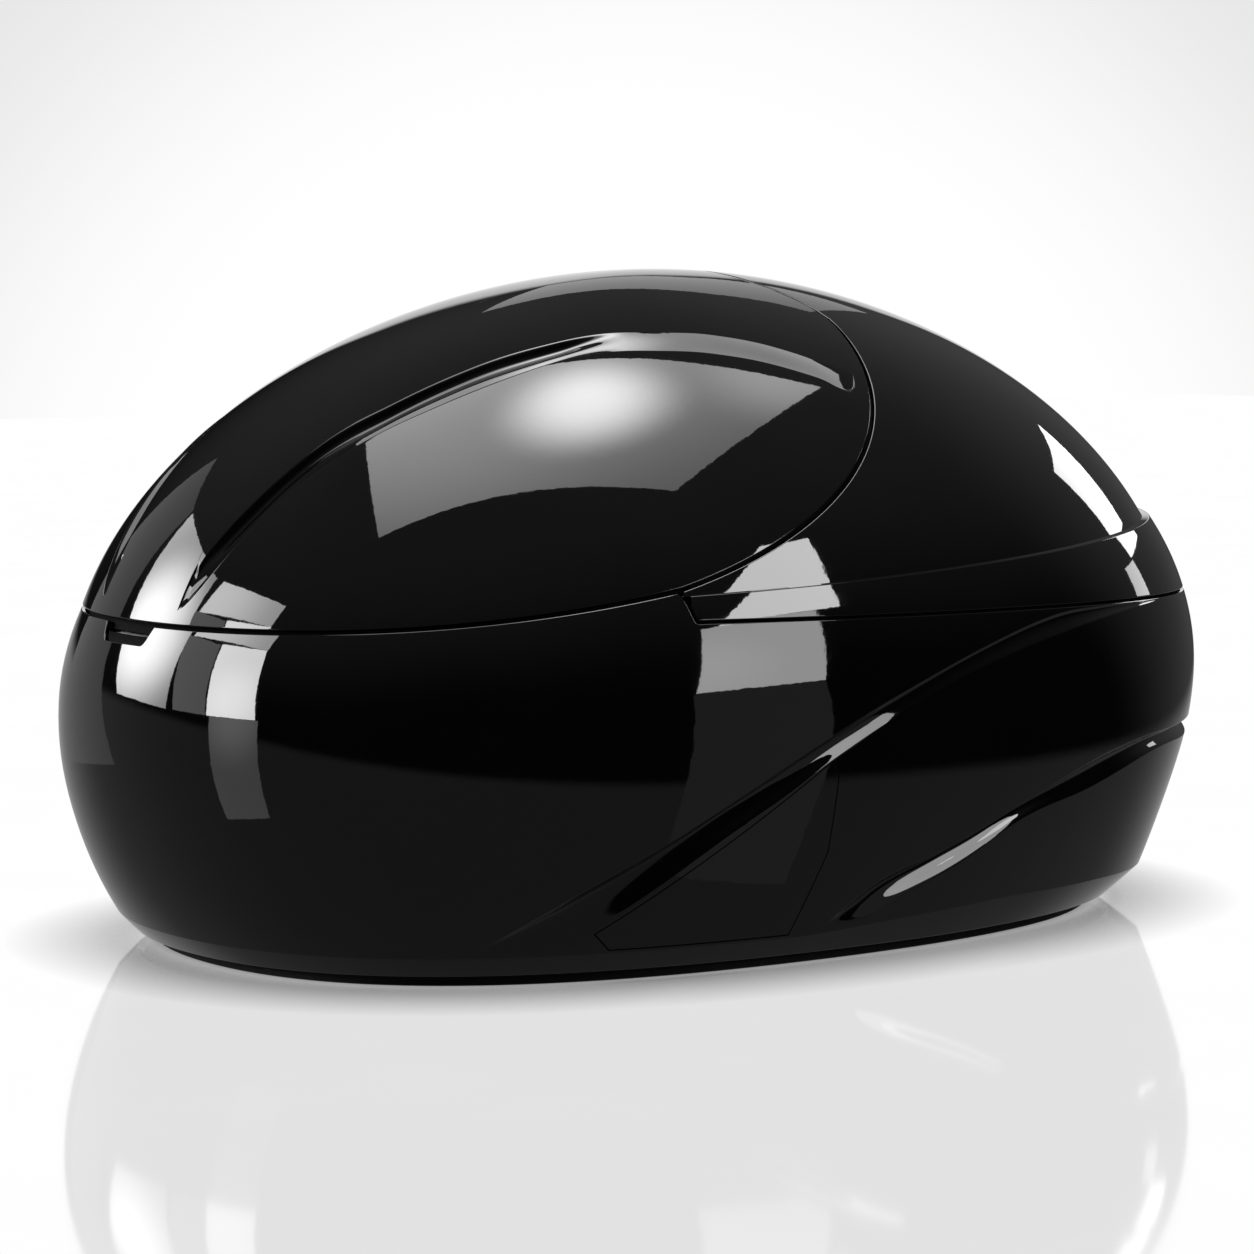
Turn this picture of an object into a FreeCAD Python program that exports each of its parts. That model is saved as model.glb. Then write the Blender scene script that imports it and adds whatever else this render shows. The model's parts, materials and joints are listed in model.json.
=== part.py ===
import FreeCAD, Part
import math
import os

Vector = FreeCAD.Vector
Placement = FreeCAD.Placement
Rotation = FreeCAD.Rotation

# Driving dimensions in millimetres, degrees or plain ratios. The origin is on the floor under the
# middle of the pod: +X points to the closed tail, -X to the nose that opens, +Y to the left side.
DIMENSIONS = {
    # outer form: an oval in plan, swept up and down from its widest level by two conic arcs
    "body_length": 2600, "body_width": 1716, "widest_level": 498.5, "body_rise": 827.4,
    "body_drop": 827.2, "rise_fullness": 0.667, "drop_fullness": 0.7885, "body_lean": 0.0641,
    "dome_length": 2558.8, "dome_width": 1692.4, "dome_rise": 890.2, "dome_lean": 0.0287,
    "dome_shift": -10, "skin": 8, "underside_level": 24,
    # seams seen from the side
    "nose_seam_level": 697, "nose_seam_place": -900, "nose_seam_lift": 13, "step_place": -460,
    "step_level": 767, "step_lean": 4, "step_foot_place": -443, "rear_seam_level": 700.5,
    "rear_seam_slope": -0.0128, "front_gap": 8, "rear_gap": 6, "lid_gap": 6, "panel_gap": 3,
    "crown_level": 1150, "crown_overlap": 60, "collar_start": -600, "collar_start_level": 752,
    "collar_middle": 300, "collar_middle_level": 791, "collar_end_level": 910,
    "notch_width": 205, "notch_floor_width": 150, "notch_floor_level": 650, "notch_bevel": 30,
    "notch_depth_place": -1000,
    # plinth, feet and frame
    "plinth_scale": 0.8218, "plinth_height": 40, "plinth_wall": 50, "foot_radius": 30,
    "foot_pad_height": 12, "foot_stem_radius": 8, "foot_stem_top": 60, "foot_pitch": 850,
    "rail_length": 1900, "rail_width": 50, "rail_height": 60, "rail_spread": 660,
    "cross_length": 900, "cross_level": 120, "cross_pitch": 535, "bearer_level": 180,
    "bearer_height": 60, "bearer_length": 1700, "tray_length": 840, "tray_width": 300,
    "tray_thickness": 4, "tray_place": -560,
    # tub
    "tub_length": 2300, "tub_width": 1410, "rim_level": 663, "tub_drop": 400,
    "tub_fullness": 1.4, "tub_floor_level": 300, "tub_skin": 8, "rim_thickness": 8,
    "rim_fit": 0.2, "seal_length": 2390, "seal_width": 1546, "seal_band": 30, "seal_height": 11,
    "heater_length": 1100, "heater_width": 720, "heater_thickness": 4, "foam_thickness": 48,
    "light_radius": 40, "light_depth": 60, "light_level": 450, "light_face_place": 645,
    "light_hole_place": 600, "light_hole_length": 200, "lens_radius": 34, "lens_thickness": 5,
    "suction_radius": 60, "suction_height": 6, "suction_place": 600, "nozzle_radius": 22,
    "nozzle_length": 60, "nozzle_level": 470, "nozzle_spread": 420, "nozzle_place": -1050,
    "nozzle_hole_place": -900, "nozzle_hole_length": 300, "transducer_radius": 45,
    "transducer_height": 18, "transducer_place": 620, "transducer_spread": 300,
    # liners and handle
    "liner_inset": 45, "liner_skin": 6, "liner_setback": 130, "liner_gap": 1,
    "hood_liner_start": 520, "handle_place": -900, "handle_level": 960, "handle_length": 260,
    "handle_radius": 12, "handle_post_inset": 25, "handle_post_length": 200,
    # hinge
    "pivot_place": 390, "pivot_level": 1262, "pin_radius": 8, "running_gap": 0.05,
    "arm_spread": 300, "arm_thickness": 20, "arm_inner_radius": 320, "arm_width": 30,
    "arm_low_angle": 38, "arm_high_angle": 30, "hub_radius": 22, "foot_plate_thickness": 12,
    "foot_plate_start": 10, "foot_plate_end": 95, "foot_plate_width": 70,
    "rib_place": 430, "rib_thickness": 20, "rib_depth": 60, "rib_foot_level": 693,
    "ear_thickness": 8, "ear_gap": 0.5, "ear_start": 372, "ear_low_level": 1240,
    "ear_high_level": 1298,
    # gas struts
    "strut_spread": 940, "strut_pin_reach": 200, "shelf_thickness": 20, "strut_foot_place": 337,
    "strut_foot_level": 846, "strut_head_place": 7.6, "strut_head_level": 1049.6,
    "strut_eye_radius": 14, "strut_eye_width": 22, "tube_radius": 11, "tube_length": 345,
    "rod_radius": 5, "rod_length": 345, "tube_bore_radius": 5.35, "tube_start": 16,
    "tube_end_wall": 10, "neck_radius": 8, "neck_length": 20, "head_eye_radius": 12,
    "head_eye_width": 16, "clevis_length": 40, "clevis_plate": 6, "clevis_gap": 3,
    "clevis_height": 200, "clevis_below": 14, "clevis_crown": 24, "clevis_clearance": 3,
    # controls and equipment
    "bezel_radius": 16, "bezel_height": 5, "cap_radius": 10, "cap_gap": 0.6,
    "cap_top_level": 670, "cap_height": 13, "switch_radius": 12.5, "switch_height": 28,
    "well_depth": 4, "button_line": 726, "button_place": -30, "button_pitch": 60,
    "pump_radius": 70, "pump_length": 180, "pump_place": -480, "volute_radius": 85,
    "volute_length": 60, "filter_radius": 80, "filter_height": 170, "lid_radius": 86,
    "lid_height": 18, "pipe_radius": 25, "box_length": 260, "box_width": 150, "box_height": 170,
    "box_place": -520, "uv_radius": 45, "uv_length": 420, "uv_place": -180,
    "equipment_line": 575,
}

doc = FreeCAD.newDocument("FloatPod")
sheet = doc.addObject("Spreadsheet::Sheet", "Sizes")
for row, (alias, value) in enumerate(DIMENSIONS.items(), start=1):
    sheet.set(f"A{row}", alias)
    sheet.set(f"B{row}", str(value))
    sheet.setAlias(f"B{row}", alias)
doc.recompute()

parts = {}
SIDES = {"right": -1, "left": 1}
FAR = 1600


def size(alias):
    return float(sheet.get(alias))


# ---------------------------------------------------------------- parts made of plain solids

def bind(thing, **formulas):
    """Ties properties to the sheet. In a formula, '@skin / 2' stands for 'Sizes.skin / 2'."""
    for name, formula in formulas.items():
        thing.setExpression(name, formula.replace("@", "Sizes."))
    return thing


def cylinder(name, radius, height, position, axis=(0, 0, 1)):
    thing = doc.addObject("Part::Cylinder", name)
    thing.Placement = Placement(Vector(*position), Rotation(Vector(0, 0, 1), Vector(*axis)))
    return bind(thing, Radius=radius, Height=height)


def box(name, length, width, height, corner):
    thing = doc.addObject("Part::Box", name)
    thing.Placement.Base = Vector(*corner)
    return bind(thing, Length=length, Width=width, Height=height)


def cut(name, base, *tools):
    for step, tool in enumerate(tools):
        thing = doc.addObject("Part::Cut", name if tool is tools[-1] else f"{name}_{step}")
        thing.Base, thing.Tool = base, tool
        base = thing
    return base


def fuse(name, *things):
    thing = doc.addObject("Part::MultiFuse", name)
    thing.Shapes = list(things)
    return thing


def common(name, base, tool):
    thing = doc.addObject("Part::Common", name)
    thing.Base, thing.Tool = base, tool
    return thing


def feature(name, shape):
    thing = doc.addObject("Part::Feature", name)
    thing.Shape = shape
    return thing


def part(label, thing):
    """Names a finished sub-part. Its label is its file's name."""
    thing.Label = label
    parts[label] = thing
    return thing


# ---------------------------------------------------------------- the oval form

CORNERS = [(1, 1), (-1, 1), (-1, -1), (1, -1)]


def oval_face(half_length, half_width, bulge, fullness, level, lean, shift):
    """Half of the form: its plan is a quadratic spline on four corners, its profile a conic arc."""
    poles, weights = [], []
    for side_x, side_y in CORNERS:
        column = []
        for reach, height in ((1, 0), (1, bulge), (0, bulge)):
            column.append(Vector(shift + half_length * reach * side_x + lean * height,
                                 half_width * reach * side_y, level + height))
        poles.append(column)
        weights.append([1, fullness, 1])
    surface = Part.BSplineSurface()
    surface.buildFromPolesMultsKnots(poles, (1, 1, 1, 1, 1), (3, 3), (0, 1, 2, 3, 4), (0, 1),
                                     True, False, 2, 2, weights)
    return surface.toShape()


def oval_solid(length, width, rise, drop, rise_fullness, drop_fullness, level, lean, shift, inset=0):
    """The closed form, drawn in by inset on every side."""
    half_length, half_width = length / 2 - inset, width / 2 - inset
    upper = oval_face(half_length, half_width, rise - inset, rise_fullness, level, lean, shift)
    lower = oval_face(half_length, half_width, inset - drop, drop_fullness, level, lean, shift)
    shell = Part.makeShell([upper, lower])
    shell.sewShape()
    return Part.makeSolid(shell)


def body_form(inset=0):
    return oval_solid(size("body_length"), size("body_width"), size("body_rise"), size("body_drop"),
                      size("rise_fullness"), size("drop_fullness"), size("widest_level"),
                      size("body_lean"), 0, inset)


def dome_form(inset=0):
    return oval_solid(size("dome_length"), size("dome_width"), size("dome_rise"), size("dome_rise"),
                      size("rise_fullness"), size("rise_fullness"), size("widest_level"),
                      size("dome_lean"), size("dome_shift"), inset)


def tub_form(inset=0):
    return oval_solid(size("tub_length"), size("tub_width"), size("tub_drop"), size("tub_drop"),
                      size("tub_fullness"), size("tub_fullness"), size("rim_level"), 0, 0, inset)


def oval_plate(half_length, half_width, low, high, shift=0):
    """A flat plate with the plan outline of the form, which is four parabolas."""
    def middle(one, other):
        return (one + other) / 2

    corners = [Vector(shift + half_length * side_x, half_width * side_y, low)
               for side_x, side_y in CORNERS]
    quarters = []
    for number, corner in enumerate(corners):
        curve = Part.BezierCurve()
        curve.setPoles([middle(corners[number - 1], corner), corner,
                        middle(corner, corners[(number + 1) % len(corners)])])
        quarters.append(curve.toShape())
    return Part.Face(Part.Wire(quarters)).extrude(Vector(0, 0, high - low))


def slab(low, high, start=-FAR, end=FAR):
    """Everything between two levels and two stations along the length."""
    return Part.makeBox(end - start, 2 * FAR, high - low, Vector(start, -FAR, low))


def across(edges):
    """The closed side-view outline, as a block right across the width."""
    face = Part.Face(Part.Wire(edges))
    return face.extrude(Vector(0, 2 * FAR, 0))


def point(along, level):
    return Vector(along, -FAR, level)


def line(*ends):
    points = [point(*end) for end in ends]
    return [Part.makeLine(first, second) for first, second in zip(points, points[1:])]


def arc(start, middle, end):
    return Part.Arc(point(*start), point(*middle), point(*end)).toShape()


# ---------------------------------------------------------------- seams, as side-view curves

def rear_seam(along, raised=0):
    return size("rear_seam_level") + size("rear_seam_slope") * along + raised


LID_EDGE = ((-460, 767), (-150, 850), (205, 1030), (204, 1300))
CROWN_EDGE = ((204, 390), (185, 260), (105, 200), (104, 0))


def shifted_edge(shift_along, shift_up):
    """The lid's rear edge in side view, moved: its poles and its curve."""
    poles = [(along + shift_along, level + shift_up) for along, level in LID_EDGE]
    curve = Part.BezierCurve()
    curve.setPoles([point(*pole) for pole in poles])
    return poles, curve.toShape()


def crown_block(shift):
    """Just behind the lid's rear edge over the crown, where the edge bends forward in plan."""
    level = size("crown_level")
    halves = []
    for side in (-1, 1):
        curve = Part.BezierCurve()
        curve.setPoles([Vector(along + shift, side * reach, level) for along, reach in CROWN_EDGE])
        halves.append(curve.toShape())
    along, reach = CROWN_EDGE[0]
    far = along + shift + size("crown_overlap")
    corners = [Vector(along + shift, -reach, level), Vector(far, -reach, level),
               Vector(far, reach, level), Vector(along + shift, reach, level)]
    lines = [Part.makeLine(first, second) for first, second in zip(corners, corners[1:])]
    outline = Part.Wire(Part.__sortEdges__(halves + lines))
    return Part.Face(outline).extrude(Vector(0, 0, FAR))


def lid_block():
    """Above the front seam and ahead of the lid's rear edge."""
    half, level = size("lid_gap") / 2, size("nose_seam_level") + size("front_gap") / 2
    poles, edge = shifted_edge(-half, half)
    first, last = poles[0], poles[-1]
    front = arc((-FAR, level), (size("nose_seam_place"), level + size("nose_seam_lift")), first)
    block = across([front, edge] + line(last, (last[0], FAR), (-FAR, FAR), (-FAR, level)))
    return block.cut(crown_block(-half))


def lid_liner_block():
    """The lid's block set back from its rear edge, with a level bottom just above the seal."""
    setback = size("lid_gap") / 2 + size("liner_setback")
    level = size("rim_level") + size("seal_height") + size("liner_gap")
    poles, edge = shifted_edge(-setback, 0)
    first, last = poles[0], poles[-1]
    block = across([edge] + line(last, (last[0], FAR), (-FAR, FAR), (-FAR, level),
                                 (first[0], level), first))
    return block.cut(crown_block(-setback))


def hood_block():
    """Behind the lid's rear edge and above the rear seam."""
    half, raised = size("lid_gap") / 2, size("rear_gap") / 2
    poles, edge = shifted_edge(half, -half)
    first, last = poles[0], poles[-1]
    foot = (size("step_foot_place") + size("rear_gap"), rear_seam(size("step_foot_place"), raised))
    tail = (FAR, rear_seam(FAR, raised))
    block = across([edge] + line(last, (last[0], FAR), (FAR, FAR), tail, foot, first))
    return block.fuse(crown_block(half))


def casing_block():
    """Below the front seam, the step and the rear seam."""
    lowered = -size("front_gap") / 2
    top = (size("step_place") - size("step_lean"), size("step_level") + lowered)
    foot = (size("step_foot_place"), rear_seam(size("step_foot_place"), -size("rear_gap") / 2))
    tail = (FAR, rear_seam(FAR, -size("rear_gap") / 2))
    level, bottom = size("nose_seam_level") + lowered, size("underside_level")
    front = arc((-FAR, level), (size("nose_seam_place"), level + size("nose_seam_lift")), top)
    return across([front] + line(top, foot, tail, (FAR, bottom), (-FAR, bottom), (-FAR, level)))


def collar_block(lowered=0):
    """Below the collar's top edge, which climbs towards the tail."""
    start = (size("collar_start"), size("collar_start_level") - lowered)
    middle = (size("collar_middle"), size("collar_middle_level") - lowered)
    end = (FAR, size("collar_end_level") - lowered)
    return across([arc(start, middle, end)] + line(end, (FAR, 0), (start[0], 0), start))


# ---------------------------------------------------------------- casing and service panels

PANEL = ((-627, 107), (-154, 423), (-137, 390), (-142, 238), (-201, 72), (-591, 72))


def panel_block(side, grow):
    """The removable flank panel's outline, as a block on one side only."""
    centre = Vector(sum(p[0] for p in PANEL) / len(PANEL), 0, sum(p[1] for p in PANEL) / len(PANEL))
    points = []
    for along, level in PANEL:
        out = Vector(along, 0, level) - centre
        out.Length = out.Length + grow
        points.append(centre + out)
    face = Part.Face(Part.makePolygon(points + points[:1]))
    return face.extrude(Vector(0, side * FAR, 0))


def notch_block():
    """The finger notch in the nose, under the front seam."""
    half, floor_half = size("notch_width") / 2, size("notch_floor_width") / 2
    floor, top = size("notch_floor_level"), size("step_level")
    shoulder = floor + size("notch_bevel")
    outline = [(-half, top), (-half, shoulder), (-floor_half, floor), (floor_half, floor),
               (half, shoulder), (half, top), (-half, top)]
    face = Part.Face(Part.makePolygon([Vector(-FAR, reach, level) for reach, level in outline]))
    return face.extrude(Vector(FAR + size("notch_depth_place"), 0, 0))


def make_casing():
    shell = body_form().common(casing_block()).cut(body_form(size("skin")))
    shell = shell.cut(notch_block())
    for name, side in SIDES.items():
        part(f"service_panel_{name}", feature(f"ServicePanel{name}", shell.common(panel_block(side, 0))))
    for side in SIDES.values():
        shell = shell.cut(panel_block(side, size("panel_gap")))
    part("base_casing", feature("BaseCasing", shell))


def make_plinth():
    scale, wall = size("plinth_scale"), size("plinth_wall")
    half_length, half_width = size("body_length") / 2 * scale, size("body_width") / 2 * scale
    shift = -size("body_lean") * size("widest_level")
    top = size("plinth_height")
    ring = oval_plate(half_length, half_width, 0, top, shift)
    ring = ring.cut(oval_plate(half_length - wall, half_width - wall, -FAR, FAR, shift))
    part("plinth_ring", feature("PlinthRing", ring))


# ---------------------------------------------------------------- frame

def make_frame():
    half_spread = size("rail_spread") / 2
    members = []
    for side in SIDES.values():
        members.append(box("Rail", "@rail_length", "@rail_width", "@rail_height",
                           (-size("rail_length") / 2, side * half_spread - size("rail_width") / 2,
                            size("foot_stem_top"))))
        members.append(box("Bearer", "@bearer_length", "@rail_width", "@bearer_height",
                           (-size("bearer_length") / 2, side * half_spread - size("rail_width") / 2,
                            size("bearer_level"))))
    for step in (-1.5, -0.5, 0.5, 1.5):
        members.append(box("CrossMember", "@rail_width", "@cross_length", "@rail_height",
                           (step * size("cross_pitch") - size("rail_width") / 2,
                            -size("cross_length") / 2, size("cross_level"))))
    part("base_frame", fuse("BaseFrame", *members))
    feet = []
    for side in SIDES.values():
        for along in (-size("foot_pitch"), 0, size("foot_pitch")):
            pad = cylinder("FootPad", "@foot_radius", "@foot_pad_height",
                           (along, side * half_spread, 0))
            stem = cylinder("FootStem", "@foot_stem_radius", "@foot_stem_top",
                            (along, side * half_spread, 0))
            feet.append(fuse("Foot", pad, stem))
    group = doc.addObject("Part::Compound", "LevellingFeet")
    group.Links = feet
    part("levelling_feet", group)


# ---------------------------------------------------------------- tub

def make_tub():
    rim, floor, skin = size("rim_level"), size("tub_floor_level"), size("tub_skin")
    above = rim + size("seal_height")
    outer = tub_form(-skin).common(slab(floor - skin, rim))
    factor = rim_scale()
    flange = oval_plate((size("body_length") / 2 - size("skin")) * factor - size("rim_fit"),
                        (size("body_width") / 2 - size("skin")) * factor - size("rim_fit"),
                        rim - size("rim_thickness"), rim,
                        size("body_lean") * (rim - size("widest_level")))
    tub = outer.fuse(flange).removeSplitter().cut(tub_form().common(slab(floor, above)))
    for side in SIDES.values():
        light = Vector(0, side * size("light_hole_place"), size("light_level"))
        tub = tub.cut(Part.makeCylinder(size("light_radius"), size("light_hole_length"), light,
                                        Vector(0, side, 0)))
        nozzle = Vector(size("nozzle_hole_place"), side * size("nozzle_spread") / 2,
                        size("nozzle_level"))
        tub = tub.cut(Part.makeCylinder(size("nozzle_radius"), size("nozzle_hole_length"), nozzle,
                                        Vector(-1, 0, 0)))
    for number in (0, 1):
        hole = Vector(*button_spot(number), rim - size("switch_height"))
        tub = tub.cut(Part.makeCylinder(size("cap_radius") + size("cap_gap"),
                                        above - hole.z, hole))
    part("tub_liner", feature("TubLiner", tub))
    heater_low = floor - skin - size("heater_thickness")
    part("heater_mat", box("HeaterMat", "@heater_length", "@heater_width", "@heater_thickness",
                           (-size("heater_length") / 2, -size("heater_width") / 2, heater_low)))
    part("tub_insulation", box("TubInsulation", "@heater_length", "@heater_width",
                               "@foam_thickness",
                               (-size("heater_length") / 2, -size("heater_width") / 2,
                                heater_low - size("foam_thickness"))))
    seal = oval_plate(size("seal_length") / 2, size("seal_width") / 2, rim, above)
    seal = seal.cut(oval_plate(size("seal_length") / 2 - size("seal_band"),
                               size("seal_width") / 2 - size("seal_band"), 0, FAR))
    part("rim_seal", feature("RimSeal", seal))


def rim_scale():
    """How wide the casing is under the rim, as a share of its widest level."""
    rise = (size("rim_level") - size("widest_level")) / (size("body_rise") - size("skin"))
    left = 1 - rise
    middle = 2 + 4 * size("rise_fullness") ** 2 * left - 2 * left
    return 1 - (middle - math.sqrt(middle * middle - 4 * rise * rise)) / 2


def make_tub_fittings():
    for name, side in SIDES.items():
        level = size("light_level")
        part(f"light_housing_{name}",
             cylinder(f"LightHousing{name}", "@light_radius", "@light_depth",
                      (0, side * size("light_face_place"), level), (0, side, 0)))
        part(f"light_lens_{name}",
             cylinder(f"LightLens{name}", "@lens_radius", "@lens_thickness",
                      (0, side * (size("light_face_place") - size("lens_thickness")), level),
                      (0, side, 0)))
        spot = (size("nozzle_place"), side * size("nozzle_spread") / 2, size("nozzle_level"))
        body = cylinder("NozzleBody", "@nozzle_radius", "@nozzle_length", spot, (-1, 0, 0))
        hole = cylinder("NozzleHole", "@nozzle_radius / 2", "@nozzle_length", spot, (-1, 0, 0))
        part(f"return_nozzle_{name}", cut(f"ReturnNozzle{name}", body, hole))
    part("suction_cover", cylinder("SuctionCover", "@suction_radius", "@suction_height",
                                   (size("suction_place"), 0, size("tub_floor_level"))))
    low = size("tub_floor_level") - size("tub_skin") - size("transducer_height")
    speakers = [cylinder("Transducer", "@transducer_radius", "@transducer_height",
                         (end * size("transducer_place"), side * size("transducer_spread") / 2,
                          low)) for end in (-1, 1) for side in SIDES.values()]
    group = doc.addObject("Part::Compound", "Transducers")
    group.Links = speakers
    part("sound_transducers", group)


# ---------------------------------------------------------------- hood and lid shells

def make_hood():
    block = hood_block()
    outer = dome_form().common(block)
    collar = body_form().common(block).common(collar_block())
    inner = dome_form(size("skin")).fuse(body_form(size("skin")).common(collar_block(size("skin"))))
    hood = outer.fuse(collar).cut(inner)
    part("rear_hood", feature("RearHood", hood))
    inset, skin = size("liner_inset"), size("liner_skin")
    rim = size("rim_level") + size("seal_height")
    region = slab(rim, FAR, size("hood_liner_start"))
    liner = dome_form(inset).common(region).cut(dome_form(inset + skin))
    part("hood_liner", feature("HoodLiner", liner))


def make_lid():
    skin = dome_form().common(lid_block()).cut(dome_form(size("skin")))
    part("lid_skin", feature("LidSkin", skin))
    inset = size("liner_inset")
    liner = dome_form(inset).common(lid_liner_block()).cut(dome_form(inset + size("liner_skin")))
    around = size("clevis_clearance")
    reach = size("strut_eye_width") / 2 + size("clevis_gap") + size("clevis_plate") + around
    for side in SIDES.values():
        corner = Vector(size("strut_head_place") - size("clevis_length") / 2 - around,
                        side * size("strut_spread") / 2 - reach,
                        size("strut_head_level") - size("clevis_below") - around)
        liner = liner.cut(Part.makeBox(size("clevis_length") + 2 * around, 2 * reach, FAR, corner))
    part("lid_liner", feature("LidLiner", liner))
    spot = (size("handle_place"), size("handle_level"))
    bar = cylinder("HandleBar", "@handle_radius", "@handle_length",
                   (spot[0], -size("handle_length") / 2, spot[1]), (0, 1, 0))
    post_line = size("handle_length") / 2 - size("handle_post_inset")
    posts = [cylinder("HandlePost", "@handle_radius - 2", "@handle_post_length",
                      (spot[0], side * post_line, spot[1])) for side in SIDES.values()]
    inside = feature("LinerInside", dome_form(inset + size("liner_skin")))
    part("lid_handle", common("LidHandle", fuse("HandleBlank", bar, *posts), inside))


# ---------------------------------------------------------------- hinge

def make_hinge():
    pivot = (size("pivot_place"), size("pivot_level"))
    inside = feature("DomeInside", dome_form(size("skin")))
    rib = dome_form(size("skin")).cut(dome_form(size("skin") + size("rib_depth")))
    rib = rib.common(slab(size("rib_foot_level"), FAR, size("rib_place"),
                          size("rib_place") + size("rib_thickness")))
    frame_pieces = [feature("RibArch", rib)]
    for name, side in SIDES.items():
        middle = side * size("arm_spread") / 2
        half = size("arm_thickness") / 2
        ears = []
        for outward in (-1, 1):
            start = middle + outward * (half + size("ear_gap"))
            low = start if outward > 0 else start - size("ear_thickness")
            ear = box("HingeEar", "@rib_place - @ear_start", "@ear_thickness",
                      "@ear_high_level - @ear_low_level",
                      (size("ear_start"), low, size("ear_low_level")))
            bore = cylinder("EarBore", "@pin_radius", "@ear_thickness",
                            (pivot[0], low, pivot[1]), (0, 1, 0))
            ears.append(cut("Ear", ear, bore))
        frame_pieces += ears
        reach = half + size("ear_gap") + size("ear_thickness")
        part(f"hinge_pin_{name}",
             cylinder(f"HingePin{name}", "@pin_radius",
                      "@arm_thickness + 2 * @ear_gap + 2 * @ear_thickness",
                      (pivot[0], middle - reach, pivot[1]), (0, 1, 0)))
        make_arm(name, middle, pivot, inside)
        foot = (size("strut_foot_place"), size("strut_foot_level"))
        strut = side * size("strut_spread") / 2
        inner_end = strut - side * size("strut_eye_width") / 2
        frame_pieces.append(cylinder("StrutFootPin", "@pin_radius",
                                     "@strut_eye_width + @strut_pin_reach",
                                     (foot[0], inner_end, foot[1]), (0, side, 0)))
        outer_end = inner_end + side * (size("strut_eye_width") + size("strut_pin_reach"))
        shelf_low = min(outer_end, outer_end - side * size("shelf_thickness"))
        frame_pieces.append(box("StrutShelf", "@rib_place - @strut_foot_place + @pin_radius",
                                "@shelf_thickness", "2 * @pin_radius",
                                (foot[0] - size("pin_radius"), shelf_low,
                                 foot[1] - size("pin_radius"))))
    part("hinge_frame", fuse("HingeFrame", *frame_pieces))


def make_arm(name, middle, pivot, inside):
    """Goose-neck arm: down from the pivot, then round and up to the underside of the lid."""
    width = size("arm_width")
    low = middle - size("arm_thickness") / 2
    low_angle, high_angle = size("arm_low_angle"), size("arm_high_angle")
    sweep = cylinder(f"ArmSweep{name}", "@arm_inner_radius + @arm_width", "@arm_thickness", pivot)
    bind(sweep, Angle="@arm_low_angle + @arm_high_angle")
    high = math.radians(high_angle)
    sweep.Placement = Placement(Vector(pivot[0], low + size("arm_thickness"), pivot[1]),
                                Rotation(Vector(-math.cos(high), 0, math.sin(high)),
                                         Vector(0, 0, 0), Vector(0, -1, 0), "ZXY"))
    hollow = cylinder(f"ArmHollow{name}", "@arm_inner_radius", "@arm_thickness",
                      (pivot[0], low, pivot[1]), (0, 1, 0))
    neck = cut(f"ArmNeck{name}", sweep, hollow)
    bar = box(f"ArmBar{name}", "@arm_inner_radius + @arm_width", "@arm_thickness", "@arm_width",
              pivot)
    bar.Placement = Placement(Vector(pivot[0], low, pivot[1]),
                              Rotation(Vector(0, 1, 0), 180 - low_angle))
    bar.Placement = bar.Placement.multiply(Placement(Vector(0, 0, -width / 2), Rotation()))
    hub = cylinder(f"ArmHub{name}", "@hub_radius", "@arm_thickness", (pivot[0], low, pivot[1]),
                   (0, 1, 0))
    plate_form = dome_form(size("skin")).cut(dome_form(size("skin") + size("foot_plate_thickness")))
    plate_width = size("foot_plate_width")
    plate_box = Part.makeBox(size("foot_plate_end") - size("foot_plate_start"), plate_width, FAR,
                             Vector(size("foot_plate_start"), middle - plate_width / 2,
                                    size("crown_level")))
    plate = feature(f"ArmPlate{name}", plate_form.common(plate_box))
    blank = fuse(f"ArmBlank{name}", neck, bar, hub, plate)
    trimmed = common(f"ArmTrimmed{name}", blank, inside)
    bore = cylinder(f"ArmBore{name}", "@pin_radius + @running_gap", "@arm_thickness",
                    (pivot[0], low, pivot[1]), (0, 1, 0))
    part(f"hinge_arm_{name}", cut(f"HingeArm{name}", trimmed, bore))


# ---------------------------------------------------------------- gas struts

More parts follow.
